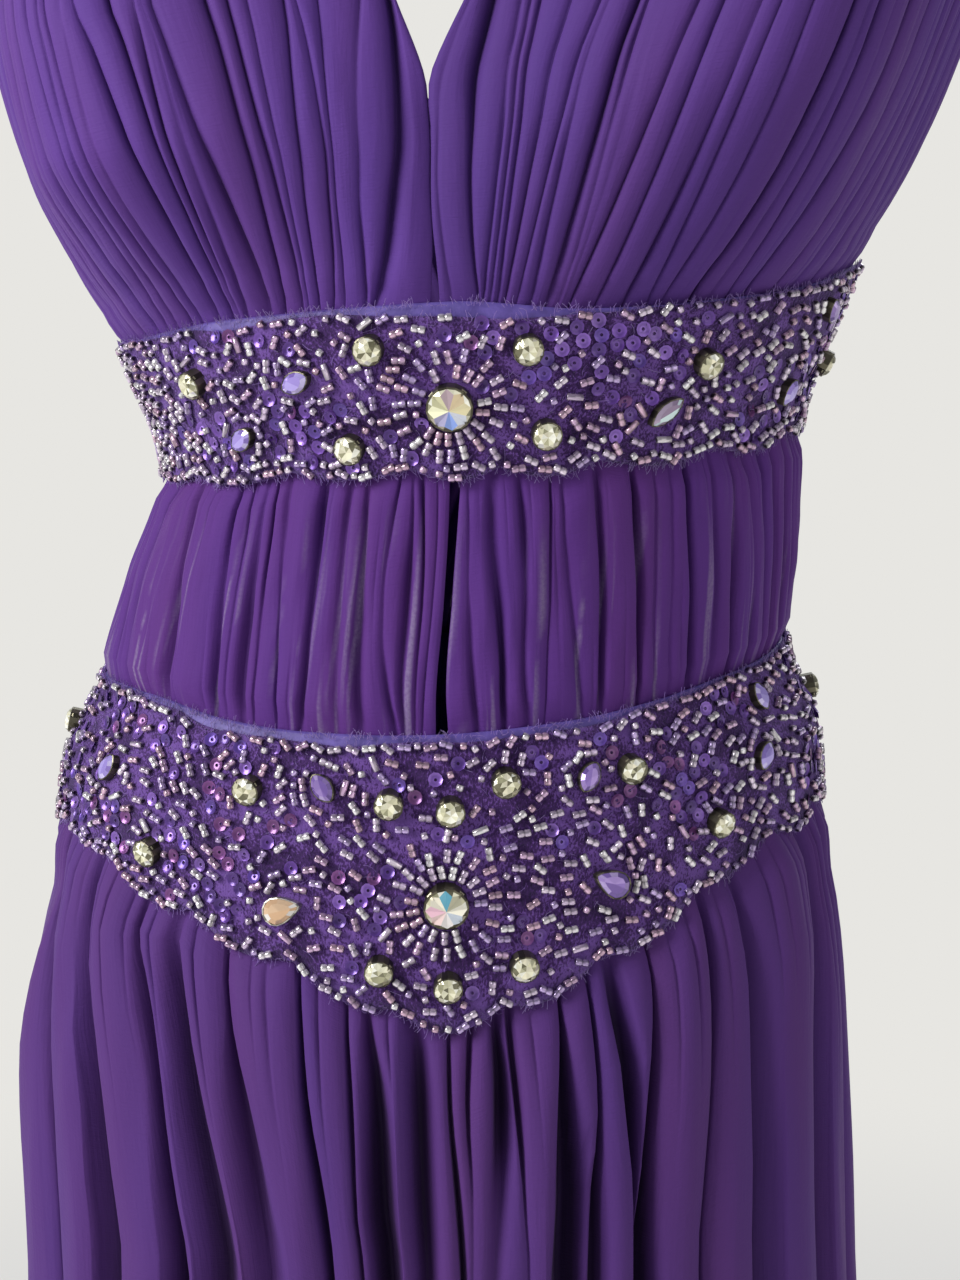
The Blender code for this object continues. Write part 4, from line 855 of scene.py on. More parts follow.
def fold_field(place, depth, left, right, gathers, weave, bulge):
    """Places across the cloth, relief in metres and shade for a grid of folds.

    place and depth have a row for each row of the grid and a column for each crease. The
    cloth swells between main creases, and lesser ones only dent it.
    """
    main, unit = gathers.reach == MAIN_REACH, weave.unit
    gap = np.maximum(np.diff(place, axis=1) * unit, 1e-5)
    fold_ends = np.flatnonzero(main)
    across, relief, shade = [], [], []
    for i in range(gap.shape[1]):
        first = fold_ends[fold_ends <= i][-1]
        last = fold_ends[fold_ends > i][0]
        broad = [weave.power > 2 and main[k] for k in (i, i + 1)]
        near = samples(right[:, i], gap[:, i], broad[0])
        far = samples(left[:, i + 1], gap[:, i], broad[1])[:, :0:-1]
        free = 1 - near[:, -1:] - far[:, :1]
        between = max(1, int(np.mean(gap[:, i:i + 1] * free) / weave.step))
        middle = near[:, -1:] + free * np.linspace(0, 1, between + 2)[1:-1]
        t = np.hstack((near, middle, 1 - far))
        span = gap[:, i][:, None]
        from_left, from_right = t * span / right[:, i:i + 1], (1 - t) * span / left[:, i + 1:i + 2]
        dip = (depth[:, i][:, None] * dent(from_left, 1 - t, broad[0], weave.power)
               + depth[:, i + 1][:, None] * dent(from_right, t, broad[1], weave.power))
        width = (place[:, last] - place[:, first])[:, None]
        part = (place[:, i][:, None] + t * span / unit - place[:, first][:, None]) / width
        crest = np.sin(np.pi * np.clip(part, 0, 1)) ** 0.8
        relief.append(bulge * np.minimum(width * unit, WIDEST_SWELL) * crest - dip)
        # Painted shade: darker the deeper the cloth dips into a crease, and darker at a fold's feet than
        # at its crest
        dark = np.clip(1 - dip / weave.full_shade, 0, 1)
        shade.append(dark * (SIDE_SHADE + (1 - SIDE_SHADE) * crest))
        lap = max(-gathers.roll[i], 0) * from_left * np.exp(1 - from_left) * (1 - t)
        over = max(gathers.roll[i + 1], 0) * from_right * np.exp(1 - from_right) * t
        across.append(place[:, i][:, None] + (t * span + over - lap) / unit)
    across.append(place[:, -1:])
    relief.append(-depth[:, -1:])
    shade.append(np.clip(1 - depth[:, -1:] / weave.full_shade, 0, 1) * SIDE_SHADE)
    return np.hstack(across), np.hstack(relief), np.hstack(shade)


def spread(place, least):
    """Keep creases in order and at least a little apart."""
    for i in range(1, place.shape[1]):
        place[:, i] = np.maximum(place[:, i], place[:, i - 1] + least)
    last = place[:, -1:]
    for i in range(place.shape[1] - 2, -1, -1):
        limit = last[:, 0] - least * (place.shape[1] - 1 - i)
        place[:, i] = np.minimum(place[:, i], limit)
    return place


def gather(levels, level, gathers, weave, part, strength, bulge, seed, along, even=None):
    """Gathered cloth on rows at these levels: places across it, relief and shade.

    part is how far down or up each row is, strength how deep its folds are, bulge how far they
    swell, and along how the creases wander. even may draw the creases into smoother runs.
    """
    place, depth, left, right = (at_levels(levels, values, level) for values in gathers[:4])
    depth = depth * np.exp(-((part - gathers.middle) / gathers.reach) ** 2) * strength[:, None]
    if even:
        place = even(place)
    place = spread(wander(place, weave.stray, seed, along), weave.apart)
    return fold_field(place, depth, left, right, gathers, weave, bulge)


# Bodice

FINE_TOP = 0.105             # the panels' rows are close up to this far above the belt
FINE_ROWS = {"front": 25, "back": 18}        # how many rows there are up to there
COARSE_ROWS = 13             # and from there to the shoulder
PLANE_ROWS = 3               # the panel's lowest rows lie against the form, so they face sideways
# A front panel's creases are evened out up to the first height above the belt, and less and less
# over the second; SWEEP_SIDE says the same across the panel, in parts of its width
SWEEP_TOP = (0.085, 0.020)
SWEEP_SIDE = (0.60, 0.20)
SWEEP_ARC = 0.65             # share of the plainer of the two curves that even a crease out
# Painted shadow on the strip beside the V: how far it reaches across the panel and up, and how soft its
# edge is
NECK_SHADE = (0.052, 0.085, 0.03)
NECK_REACH = 0.45            # part of the panel that leans with its inner edge


def panel_angle(part, side, behind):
    """Angle round the form of a place along a bodice panel's lower edge."""
    first = 0.0 if behind else BODICE_GAP
    angle = first + part * (90 - first)
    return side * (180 - angle if behind else angle)


def panel_surface(rows, part, rise, side, behind):
    """Upright points of a right-hand panel.

    rise is the height above the belt's top edge: negative where the cloth is tucked in.
    """
    first, last = rows[0].inner_z, rows[-1].inner_z
    table_up = (np.array([row.inner_z for row in rows]) - first) / (last - first)
    angle = panel_angle(part, side, behind)
    belt_top = edge("upper_top", angle)
    free_height = first - EDGES[0].upper_top
    up = np.clip((rise - free_height) / (last - first), 0, 1) + 0 * part
    turn = part * math.pi / 2
    inner_x, inner_y, inner_z, outer_x, outer_y, outer_z, mound = (
        smooth(up, table_up, column) for column in list(zip(*rows))[:-1])
    x = inner_x + np.sin(turn) * (outer_x - inner_x)
    y = outer_y + np.cos(turn) * (inner_y - outer_y)
    z = inner_z + part * (outer_z - inner_z)
    if side < 0:
        x = x - np.sin(turn) * smooth(outer_z, LEFT_HEIGHTS, LEFT_INSETS)
    belt_rise = belt_top - EDGES[0].upper_top
    z = z + belt_rise * np.clip(1 - (inner_z - first) / BELT_RISE_FADE, 0, 1)
    mound = mound * np.exp(-((part - CUP_CENTRE) / CUP_SPREAD) ** 2)
    free = np.stack((x + CUP_FORWARD[0] * mound, y + CUP_FORWARD[1] * mound, z), axis=-1)
    low = np.minimum(rise, free_height) + 0 * part
    tucked = on_form(np.abs(angle), belt_top + low, TUCK_OUT)
    free[..., 2] = np.where(rise < free_height, belt_top + low, free[..., 2])
    weight = ease(rise / free_height)[..., None] + 0 * free
    return tucked * (1 - weight) + free * weight


def sweep(rise, rows, side, place):
    """Run a front panel's creases as smooth curves, seen from the front, near the places given."""
    parts = np.linspace(0, 1, 161)
    surface = panel_surface(rows, parts[None, :], rise[:, None], side, False)
    shown = (rise >= 0) & (rise <= BODICE_LEVELS[-1])
    fade = 1 - ease((rise - SWEEP_TOP[0]) / SWEEP_TOP[1])

    def look(column, at):
        """One coordinate of the panel's surface where a crease crosses each row."""
        return np.array([np.interp(p, parts, line) for p, line in zip(at, surface[..., column])])

    for i in range(1, place.shape[1] - 1):
        given = place[:, i].copy()
        height, across = look(2, given), look(0, given)
        arc, curl = (np.polyfit(height[shown], across[shown], degree) for degree in (2, 3))
        at = given
        for _ in range(3):
            level = np.clip(look(2, at), height[shown].min(), height[shown].max())
            wanted = SWEEP_ARC * np.polyval(arc, level) + (1 - SWEEP_ARC) * np.polyval(curl, level)
            at = np.array([np.interp(x, line, parts) for x, line in zip(wanted, surface[..., 0])])
        weight = fade * (1 - ease((given - SWEEP_SIDE[0]) / SWEEP_SIDE[1]))
        place[:, i] = given + (at - given) * weight
    return place


def make_panel(name, rows, creases, side, seed, material, behind=False):
    """Build one gathered bodice panel."""
    top = rows[-1].inner_z - EDGES[0].upper_top
    fine = np.linspace(0.0, FINE_TOP, FINE_ROWS["back" if behind else "front"])
    rise = np.concatenate(([-TUCK, -TUCK / 2], fine, np.linspace(FINE_TOP, top, COARSE_ROWS)[1:]))
    heights = [row.inner_z - EDGES[0].upper_top for row in rows]
    strength = smooth(rise, [-TUCK, 0.0, 0.006, *heights[1:]],
                      [0.15, 0.35, 0.85, *[row.relief for row in rows[1:]]])
    height = rise[:, None]
    creases = (Crease((0.0,) * 4, 0.6), *creases, Crease((1.0,) * 4, 0.8))
    gathers = with_lesser(creases, BODICE_WEAVE, seed)
    level = np.repeat(height, len(gathers.places), axis=1)
    part_up = np.clip(height / BODICE_LEVELS[-1], 0, 1.4)
    bulge = 0.055 * np.clip(strength, 0, 1)[:, None]
    part, relief, shade = gather(BODICE_LEVELS, level, gathers, BODICE_WEAVE, part_up, strength, bulge,
                                 seed, height * 20, None if behind else partial(sweep, rise, rows, side))
    part = np.clip(part, 0, 1)
    # Painted shadow on the left panel's strip beside the V
    if side < 0 and not behind:
        width, high, fade = NECK_SHADE
        shade = shade * (1 - 0.5 * ease((width - part) / fade) * ease((high - height) / fade))
    points = panel_surface(rows, part, height, side, behind)
    crimp = 0.00022 * ripple(seed + 5, part * 170 + 9 * height, height * 60)
    soft = 0.0008 * ripple(seed + 6, part * 16, height * 22)
    normal = outward(points, PLANE_ROWS)
    normal[-1] = (0, 0, 1)
    points = points + normal * (relief + (crimp + soft) * strength[:, None])[..., None]
    towards = 1 if behind else -1
    points[..., 0] = np.maximum(points[..., 0], SEAM / 2) * side
    points[..., 1] = np.maximum(points[..., 1] * towards, SEAM / 2) * towards
    if side < 0 or not behind:
        values = NECK_BACK if behind else NECK_LEFT if side < 0 else NECK_RIGHT
        lean = smooth(points[..., 2], NECK_HEIGHTS, values)
        points[..., 0] -= lean * np.clip(1 - part / NECK_REACH, 0, 1) ** 1.3
    return add_cloth(name, stand(points), material, shade)


# Midriff and skirt

MIDRIFF_BEYOND = 0.10        # the tucked cloth, as a part of the midriff's height
# The midriff's rows as parts of its height, and the skirt's as distances below the belt
MIDRIFF_ROWS = np.concatenate((
    [-MIDRIFF_BEYOND, -0.04], np.linspace(0, 1, 19), [1.04, 1 + MIDRIFF_BEYOND]))
SKIRT_ROWS = np.concatenate((
    [-TUCK, -TUCK / 2], np.linspace(0, 0.024, 6), np.linspace(0.034, 0.16, 12),
    0.16 + (SKIRT_LENGTH - 0.16) * np.linspace(0, 1, 15)[1:] ** 1.15))
SWAY_SEED = 50               # the same for all skirt pieces, so that they meet at their seams
SHEER_SIDE = (72, 98)        # where the skirt's thinner strip on the left starts and ends, in degrees
SHEER_FADES = (0.40, 0.30)   # it starts to fade this far below the belt, and over this, in metres


def make_midriff(name, levels, creases, start, end, seed, material):
    """Gathered cloth between the belts."""
    strength = 0.30 + 0.70 * ease((MIDRIFF_ROWS + 0.03) / 0.14) * ease((1.03 - MIDRIFF_ROWS) / 0.14)
    creases = (Crease(start, 0.4), *creases, Crease(end, 0.4))
    gathers = with_lesser(creases, MIDRIFF_WEAVE, seed)
    if levels is MIDRIFF_LEVELS:
        gathers = gathers._replace(places=even_run(levels, gathers.places))
    up = MIDRIFF_ROWS[:, None]
    inside = np.clip(up, 0, 1)
    level = np.repeat(inside, len(gathers.places), axis=1)
    angle, relief, shade = gather(levels, level, gathers, MIDRIFF_WEAVE, up, strength,
                                  0.085 * strength[:, None], seed, up * 3.2)
    angle = np.clip(angle, min(start), max(end))
    above, below = lower_edge(UPPER_BELT, angle), edge("hip_top", angle)
    z = above + (below - above) * inside - (up - inside) * (TUCK / MIDRIFF_BEYOND)
    puff = ease((up + 0.02) / 0.16) * ease((1.02 - up) / 0.14)
    out = TUCK_OUT + (MIDRIFF_OUT - TUCK_OUT) * puff + relief
    out = out + 0.0005 * ripple(seed + 5, angle * 0.5, inside * 5) * puff
    streak = ripple(seed + 8, angle * 0.9, inside * 0.9 + 3)
    streak = streak + 0.6 * ripple(seed + 9, angle * 2.6, inside * 1.7)
    thin = np.clip(2.0 * streak - 1.05, 0, 0.9) * ease((inside - 0.05) / 0.5)
    return add_cloth(name, stand(on_form(angle, z, out)), material, shade, thin)


def make_skirt(name, levels, creases, start, end, seed, material):
    """A gathered skirt piece from the hip belt's lower edge to the hem."""
    below = SKIRT_ROWS
    creases = (Crease((start,) * len(levels), 0.8), *creases, Crease((end,) * len(levels), 0.8))
    gathers = with_lesser(creases, SKIRT_WEAVE, seed)
    gathers = gathers._replace(middle=np.where(gathers.reach == MAIN_REACH, gathers.middle, 0.0))
    part = np.clip(below, 0, None)[:, None] / SKIRT_LENGTH
    at = gathers.places[:, 1][None, :] + 0 * below[:, None]
    for _ in range(4):
        top = lower_edge(HIP_BELT, at)
        level = np.clip(top - part * (top - HEM), HEM, levels[0])
        at = at_levels(levels, gathers.places, level)
    strength = smooth(below, [-TUCK, 0.0, 0.008, 0.03, 0.3], [0.12, 0.30, 0.80, 1.0, 1.0])
    growth = smooth(below, [-TUCK, 0.0, 0.015, 0.10, 0.5, SKIRT_LENGTH],
                    [0.01, 0.06, 0.14, 0.18, 0.24, 0.30])
    angle, relief, shade = gather(levels, level, gathers, SKIRT_WEAVE, part, strength,
                                  growth[:, None], seed, part * 14)
    angle = np.clip(angle, start, end)
    top = lower_edge(HIP_BELT, angle)
    z = top - part * (top - HEM) - np.minimum(below, 0)[:, None]
    out = read(DROPS, "below", "out", below)[:, None] + relief
    meeting = 1 - np.exp(-((180 - np.abs(whole(angle))) / 8) ** 2)     # 0 at the centre back seam
    sway = 0.004 * ripple(SWAY_SEED, angle * 0.05, part * 2.2) * part * meeting
    soft = 0.0010 * ripple(SWAY_SEED - 2, angle * 0.30, part * 16) * strength[:, None] * meeting
    side = SIDE_IN * (1 - np.abs(np.cos(np.radians(angle)))) * ease(below / 0.03)[:, None]
    turned = -whole(angle)
    thin = ease((turned - SHEER_SIDE[0]) / 6) * ease((SHEER_SIDE[1] - turned) / 12) * 0.6
    shown = 1 - 0.8 * ease((below - SHEER_FADES[0]) / SHEER_FADES[1])
    thin = thin * (ease(below / 0.06) * shown)[:, None]
    return add_cloth(name, stand(on_form(angle, z, out + sway + soft - side)), material, shade, thin)


def opposite(places):
    """The same places on the other side."""
    return tuple(-place for place in places)


def mirrored(creases):
    """The same creases on the other side, in rising order."""
    return [Crease(opposite(crease.places), crease.depths, crease.right, crease.left, -crease.roll)
            for crease in reversed(creases)]


def make_cloth():
    """All the gathered chiffon."""
    # The bodice's left and right materials are one chiffon, the left painted about a quarter lighter as
    # painted light from the key on the left
    bodice_left = chiffon_material("bodice_left_chiffon", (1.24, 1.34, 1.34))
    bodice_right = chiffon_material("bodice_right_chiffon", (0.98, 1.06, 1.08))
    midriff = chiffon_material("midriff_chiffon", (1.06, 0.86, 1.04), sheer=0.95)
    skirt = chiffon_material("skirt_chiffon", (1.00, 1.00, 0.96), SKIRT_CREASE_SHADE, 0.8)
    gap = np.interp(MIDRIFF_LEVELS, (0, 0.3, 0.7, 1), MIDRIFF_GAP)
    gap_left, gap_right = tuple(GAP_MIDDLE - gap / 2), tuple(GAP_MIDDLE + gap / 2)
    side, side_back, middle_back = (90.0,) * 6, (90.0,) * 3, (180.0,) * 3
    for make, solid, *cut in (
            (make_panel, "bodice_front_left", FRONT_ROWS, BODICE_LEFT, -1, 21, bodice_left),
            (make_panel, "bodice_front_right", FRONT_ROWS, BODICE_RIGHT, 1, 22, bodice_right),
            (make_panel, "bodice_back_left", BACK_ROWS, BODICE_BACK, -1, 23, bodice_left, True),
            (make_panel, "bodice_back_right", BACK_ROWS, BODICE_BACK, 1, 24, bodice_right, True),
            (make_midriff, "midriff_front_left", MIDRIFF_LEVELS, MIDRIFF_LEFT,
             opposite(side), gap_left, 31, midriff),
            (make_midriff, "midriff_front_right", MIDRIFF_LEVELS, MIDRIFF_RIGHT,
             gap_right, side, 32, midriff),
            (make_midriff, "midriff_back_left", BACK_PARTS, mirrored(MIDRIFF_BACK),
             opposite(middle_back), opposite(side_back), 33, midriff),
            (make_midriff, "midriff_back_right", BACK_PARTS, MIDRIFF_BACK,
             side_back, middle_back, 34, midriff),
            (make_skirt, "skirt_front", SKIRT_LEVELS, SKIRT_FRONT, -90.0, 90.0, 41, skirt),
            (make_skirt, "skirt_back_left", BACK_LEVELS, mirrored(SKIRT_BACK), -180.0, -90.0, 42, skirt),
            (make_skirt, "skirt_back_right", BACK_LEVELS, SKIRT_BACK, 90.0, 180.0, 43, skirt)):
        piece = make(solid.replace("_", "_chiffon_", 1), *cut)
        finish_piece(piece, "chiffon", solid)


# Belts

LACE_OUT = 0.0006            # how far the lace lies off the satin
ROLL = 0.0008                # how far the satin's edges roll in and reach past the lace's scallops
ROLL_WIDTH = 0.02            # how wide that roll is, as a part of the belt's height
# Where the satin's rows of points lie, as parts of the belt's height: closest at its edges
SATIN_ROWS = (0, 0.012, 0.035, 0.07, 0.15, 0.3, 0.45, 0.6, 0.75, 0.87, 0.95, 0.98, 1.0)
BEAD = 0.00125               # radius of a seed bead

# How far the lace starts below a belt's top edge, in millimetres, so that the satin shows
LACE_TOPS = {
    "upper_belt": ((-180, -90, -62, -45, -32, -24, -15, -8, 0, 8, 14, 20, 35, 90, 180),
                   (0.5, 0.3, 0.5, 1.5, 3.0, 2.0, 1.5, 3.5, 4.5, 4.2, 3.0, 1.0, 0.5, 0.3, 0.5)),
    "hip_belt": ((-180, -90, -62, -48, -35, -15, 0, 15, 30, 45, 60, 90, 180),
                 (0.5, 0.3, 0.5, 1.5, 3.0, 3.0, 2.0, 2.6, 1.5, 0.8, 0.4, 0.3, 0.5)),
}


def whole(angle):
    """The same angle between -180 and 180 degrees."""
    return (np.asarray(angle, float) + 180) % 360 - 180


def satin_top(belt, angle):
    """Height of a belt's upper edge at any angle."""
    return edge(belt.top, whole(angle))


def lace_bottom(belt, angle):
    """Height of the lace's scalloped edge at any angle."""
    return lower_edge(belt, whole(angle))


def lace_top(belt, angle):
    """Height of the lace's upper edge at an angle: a shallow wave below the satin's edge."""
    angle = whole(angle)
    knots, values = LACE_TOPS[belt.name]
    wave = 0.7 * np.sin(np.radians(angle * 19)) + 0.6 * ripple(belt.seed, angle * 0.23, 0.5)
    return edge(belt.top, angle) - MILLIMETRE * np.maximum(smooth(angle, knots, values) + wave * 0.6, 0.2)


def seat(angle, z, out):
    """Worn points on a belt, and the unit directions sideways, up and outwards there."""
    angle = np.asarray(angle, float)

    def at(turn, lift):
        """The point this many degrees and metres away."""
        return stand(on_form(whole(angle + turn), z + lift, out))

    side = at(0.2, 0) - at(-0.2, 0)
    side /= np.linalg.norm(side, axis=-1, keepdims=True)
    up = at(0, 0.0006) - at(0, -0.0006)
    up -= side * np.sum(up * side, axis=-1, keepdims=True)
    up /= np.linalg.norm(up, axis=-1, keepdims=True)
    return at(0, 0), side, up, np.cross(side, up)


def make_satin(belt, start, end, name, material):
    """The smooth band under the lace, with soft rolled edges."""
    angle = np.linspace(start, end, int((end - start) * 1.1))[None, :]
    part = np.array(SATIN_ROWS)[:, None]
    top, bottom = satin_top(belt, angle), lace_bottom(belt, angle) + ROLL
    rolled = ROLL * np.exp(-(part / ROLL_WIDTH) ** 2) + ROLL * np.exp(-((1 - part) / ROLL_WIDTH) ** 2)
    puff = 0.0002 * ripple(belt.seed, angle * 0.35, part * 3) * (part < 0.9)
    angle, z = np.broadcast_arrays(angle, top + (bottom - top) * part)
    points = stand(on_form(whole(angle), z, BELT_OUT - rolled + puff))
    return add_cloth(name, points, material, 0 * z, thickness=0.0016)


def make_lace(belt, start, end, name, material):
    """The lace laid over the satin, from below its top edge to just past its scallops."""
    angle = np.linspace(start, end, int((end - start) * 1.3))[None, :]
    part = np.linspace(0, 1, 12)[:, None]
    top, bottom = lace_top(belt, angle), lace_bottom(belt, angle)
    angle, z = np.broadcast_arrays(angle, top + (bottom - top) * part)
    pucker = 0.00022 * ripple(belt.seed + 1, angle * 1.3, z * 500)
    points = stand(on_form(whole(angle), z, BELT_OUT + LACE_OUT + pucker))
    return add_cloth(name, points, material, 0 * z, thickness=0.0003)


# Beads, sequins and threads: small shapes stamped on a belt and joined

GLINT = (1.5, 0.50, 1.55, 0.85, 1.1, 0.60)     # painted glints and shade: how light each of a bead's sides is


def ring_faces(rings, sides):
    """Triangles that join each ring of points to the next."""
    faces = []
    for r in range(rings - 1):
        for i in range(sides):
            a, b = r * sides + i, r * sides + (i + 1) % sides
            faces += [(a, b + sides, b), (a, a + sides, b + sides)]
    return faces


def spindle(*half):
    """A closed bead turned about its x axis from the rings of one half.

    Each ring is (place, radius, shade), the sizes in millimetres, outermost first.
    """
    rings = half + tuple((-place, radius, shade) for place, radius, shade in reversed(half) if place)
    sides = len(GLINT)
    turn = np.arange(sides) * 2 * math.pi / sides
    points, shades = [], []
    for place, radius, shade in rings:
        points += [(place, radius * math.cos(a), radius * math.sin(a)) for a in turn]
        shades += [shade * part for part in GLINT]
    faces = ring_faces(len(rings), sides)
    last = (len(rings) - 1) * sides
    for i in range(1, sides - 1):
        faces += [(0, i, i + 1), (last, last + i + 1, last + i)]
    return np.array(points) * MILLIMETRE, np.array(shades), np.array(faces)


def cup(sides, *rings):
    """An open dish facing its own z axis from (radius, height, shade) rings, in millimetres."""
    turn = np.arange(sides) * 2 * math.pi / sides
    points, shades = [], []
    for radius, height, shade in rings:
        points += [(radius * math.cos(a), radius * math.sin(a), height) for a in turn]
        shades += [shade] * sides
    faces = np.array(ring_faces(len(rings), sides))[:, ::-1]
    return np.array(points) * MILLIMETRE, np.array(shades), faces


# The third number of each ring is painted shade and highlight: beads dark at their holes and in the waist
# between a pair's beads, lighter round their middles; sequins dark at the hole, lighter at the raised rim.
SHAPES = {
    "seed": spindle((-1.10, 0.50, 0.10), (-0.92, 1.15, 0.9), (0, 1.28, 1.1)),
    "pair": spindle((-2.30, 0.50, 0.06), (-2.16, 1.08, 0.75), (-1.70, 1.26, 1.1), (-0.45, 1.24, 1.0),
                    (-0.12, 1.04, 0.55)),
    "bugle": spindle((-2.7, 0.50, 0.10), (-2.5, 1.1, 0.9), (0, 1.12, 1.1)),
    "sequin": cup(10, (0.45, 0.05, 0.1), (0.62, 0.0, 1.0), (1.4, 0.02, 0.8), (2.4, 0.5, 1.15)),
}
MARGIN = 0.0012              # how far beads stay inside the lace's edges
ROOM = 0.00025               # the least gap between two beads
FILL_ROOM = 0.00075          # the gap round the beads that fill what is left
STONE_ROOM = 0.0005          # the gap between a stone and the beads round it
SEQUINS_APART = 0.0040
SEQUIN_TRIES = 2000
BEAD_TRIES = 6500
# Middles of the discs, along the bead, that keep other beads away
DISCS = {"seed": (0.0,), "pair": (-0.0010, 0.0010), "bugle": (-0.0017, 0.0, 0.0017)}
CLEAR_TINTS = ((0.52, 0.44, 0.55), (0.44, 0.35, 0.48), (0.42, 0.28, 0.42), (0.36, 0.27, 0.48),
               (0.62, 0.57, 0.62), (0.46, 0.30, 0.40))
SEQUIN_TINTS = ((0.09, 0.03, 0.23), (0.13, 0.05, 0.31), (0.07, 0.024, 0.19), (0.19, 0.09, 0.40),
                (0.17, 0.05, 0.21), (0.11, 0.05, 0.32))


class Layout:
    """Beads and sequins laid out on one unrolled belt, none too close to another."""

    def __init__(self, belt, start, end, seed):
        """Measure the belt between two angles; nothing lies on it yet."""
        self.belt, self.start, self.end = belt, start, end
        self.rng = np.random.default_rng(seed)
        self.angles = np.linspace(start - 2, end + 2, 801)
        middle = (satin_top(belt, self.angles) + edge(belt.bottom, whole(self.angles))) / 2
        steps = np.diff(stand(on_form(whole(self.angles), middle, BELT_OUT)), axis=0)
        run = np.concatenate(([0], np.cumsum(np.linalg.norm(steps, axis=1))))
        self.run = run - np.interp((start + end) / 2, self.angles, run)
        self.low, self.high = min(lace_bottom(belt, self.angles)), max(satin_top(belt, self.angles))
        self.discs = np.zeros((0, 3))
        self.items = []

    def along(self, angle):
        """Metres along the belt from its middle."""
        return np.interp(angle, self.angles, self.run)

    def angle(self, along):
        """The angle at a place along the belt."""
        return np.interp(along, self.run, self.angles)

    def inside(self, u, z, margin=MARGIN):
        """Whether a place is on the lace and away from its edges."""
        angle = self.angle(u)
        if not self.start + 0.5 < angle < self.end - 0.5:
            return False
        top = min(lace_top(self.belt, angle) - margin / 2, satin_top(self.belt, angle) - 0.0006)
        return lace_bottom(self.belt, angle) + margin < z < top

    def block(self, u, z, radius):
        """Keep a disc free of beads from here on."""
        self.discs = np.vstack((self.discs, (u, z, radius)))

    def free(self, places, radius):
        """Whether discs of a radius at these places stay clear of all others."""
        if not len(self.discs):
            return True
        apart = np.hypot(*(places.T[:, :, None] - self.discs.T[:2, None, :]))
        return bool(np.all(apart > radius + self.discs[:, 2]))

    def bead(self, kind, u, z, turn, room=ROOM, margin=MARGIN):
        """Lay a bead unless it would touch another one; room is the gap it asks for."""
        places = np.array([(u + d * math.cos(turn), z + d * math.sin(turn)) for d in DISCS[kind]])
        if not all(self.inside(x, y, margin) for x, y in places) or not self.free(places, BEAD + room):
            return False
        for x, y in places:
            self.block(x, y, BEAD * 0.95)
        self.items.append((kind, u, z, turn))
        return True

    def any_bead(self):
        """A kind of bead, mostly pairs."""
        return self.rng.choice(["pair", "bugle", "seed"], p=[0.74, 0.06, 0.20])

    def ring(self, u, z, radius, count, radial=True, wobble=0.15, kinds=None, first=0.0):
        """Beads round a stone, pointing at it or lying round it."""
        for k in range(count):
            turn = 2 * math.pi * (k + first) / count + self.rng.normal(0, wobble / 3)
            r = radius + self.rng.normal(0, 0.0003)
            lie = turn + self.rng.normal(0, wobble) + (0 if radial else math.pi / 2)
            kind = kinds or self.any_bead()
            self.bead(kind, u + r * math.cos(turn), z + r * math.sin(turn), lie)

    def edge_row(self, height, inset, gap, wobble, chance=1.0):
        """A row of beads along an edge of the belt."""
        u = self.run[0]
        while u < self.run[-1]:
            u += gap * self.rng.uniform(0.85, 1.2)
            if self.rng.random() > chance:
                continue
            angle = self.angle(u)
            z = height(angle) + inset + self.rng.normal(0, 0.00035)
            slope = (height(self.angle(u + 0.001)) - height(self.angle(u - 0.001))) / 0.002
            turn = math.atan(slope) + self.rng.normal(0, wobble)
            self.bead(self.rng.choice(["pair", "seed"], p=[0.75, 0.25]), u, z, turn, margin=0.0004)

    def anywhere(self):
        """A random place on the unrolled belt."""
        return self.rng.uniform(self.run[0], self.run[-1]), self.rng.uniform(self.low, self.high)

    def fill(self, tries, room, flow):
        """Beads wherever there is room, lying along a flow."""
        for _ in range(tries):
            u, z = self.anywhere()
            self.bead(self.any_bead(), u, z, flow(u, z) + self.rng.normal(0, 0.28), room)

    def sequins(self, tries, patch):
        """Sequins in patches, under and between the beads."""
        laid = []
        for _ in range(tries):
            u, z = self.anywhere()
            if patch(u, z) < self.rng.uniform(-0.3, 0.5) or not self.inside(u, z, 0.0022):
                continue
            here = np.array([(u, z)])
            near = laid and np.min(np.hypot(*(np.array(laid) - here).T)) < SEQUINS_APART
            if near or not self.free(here, 0.0012):
                continue
            laid.append((u, z))
            self.items.append(("sequin", u, z, self.rng.uniform(0, math.pi)))
        for u, z in laid:
            self.block(u, z, 0.0009)


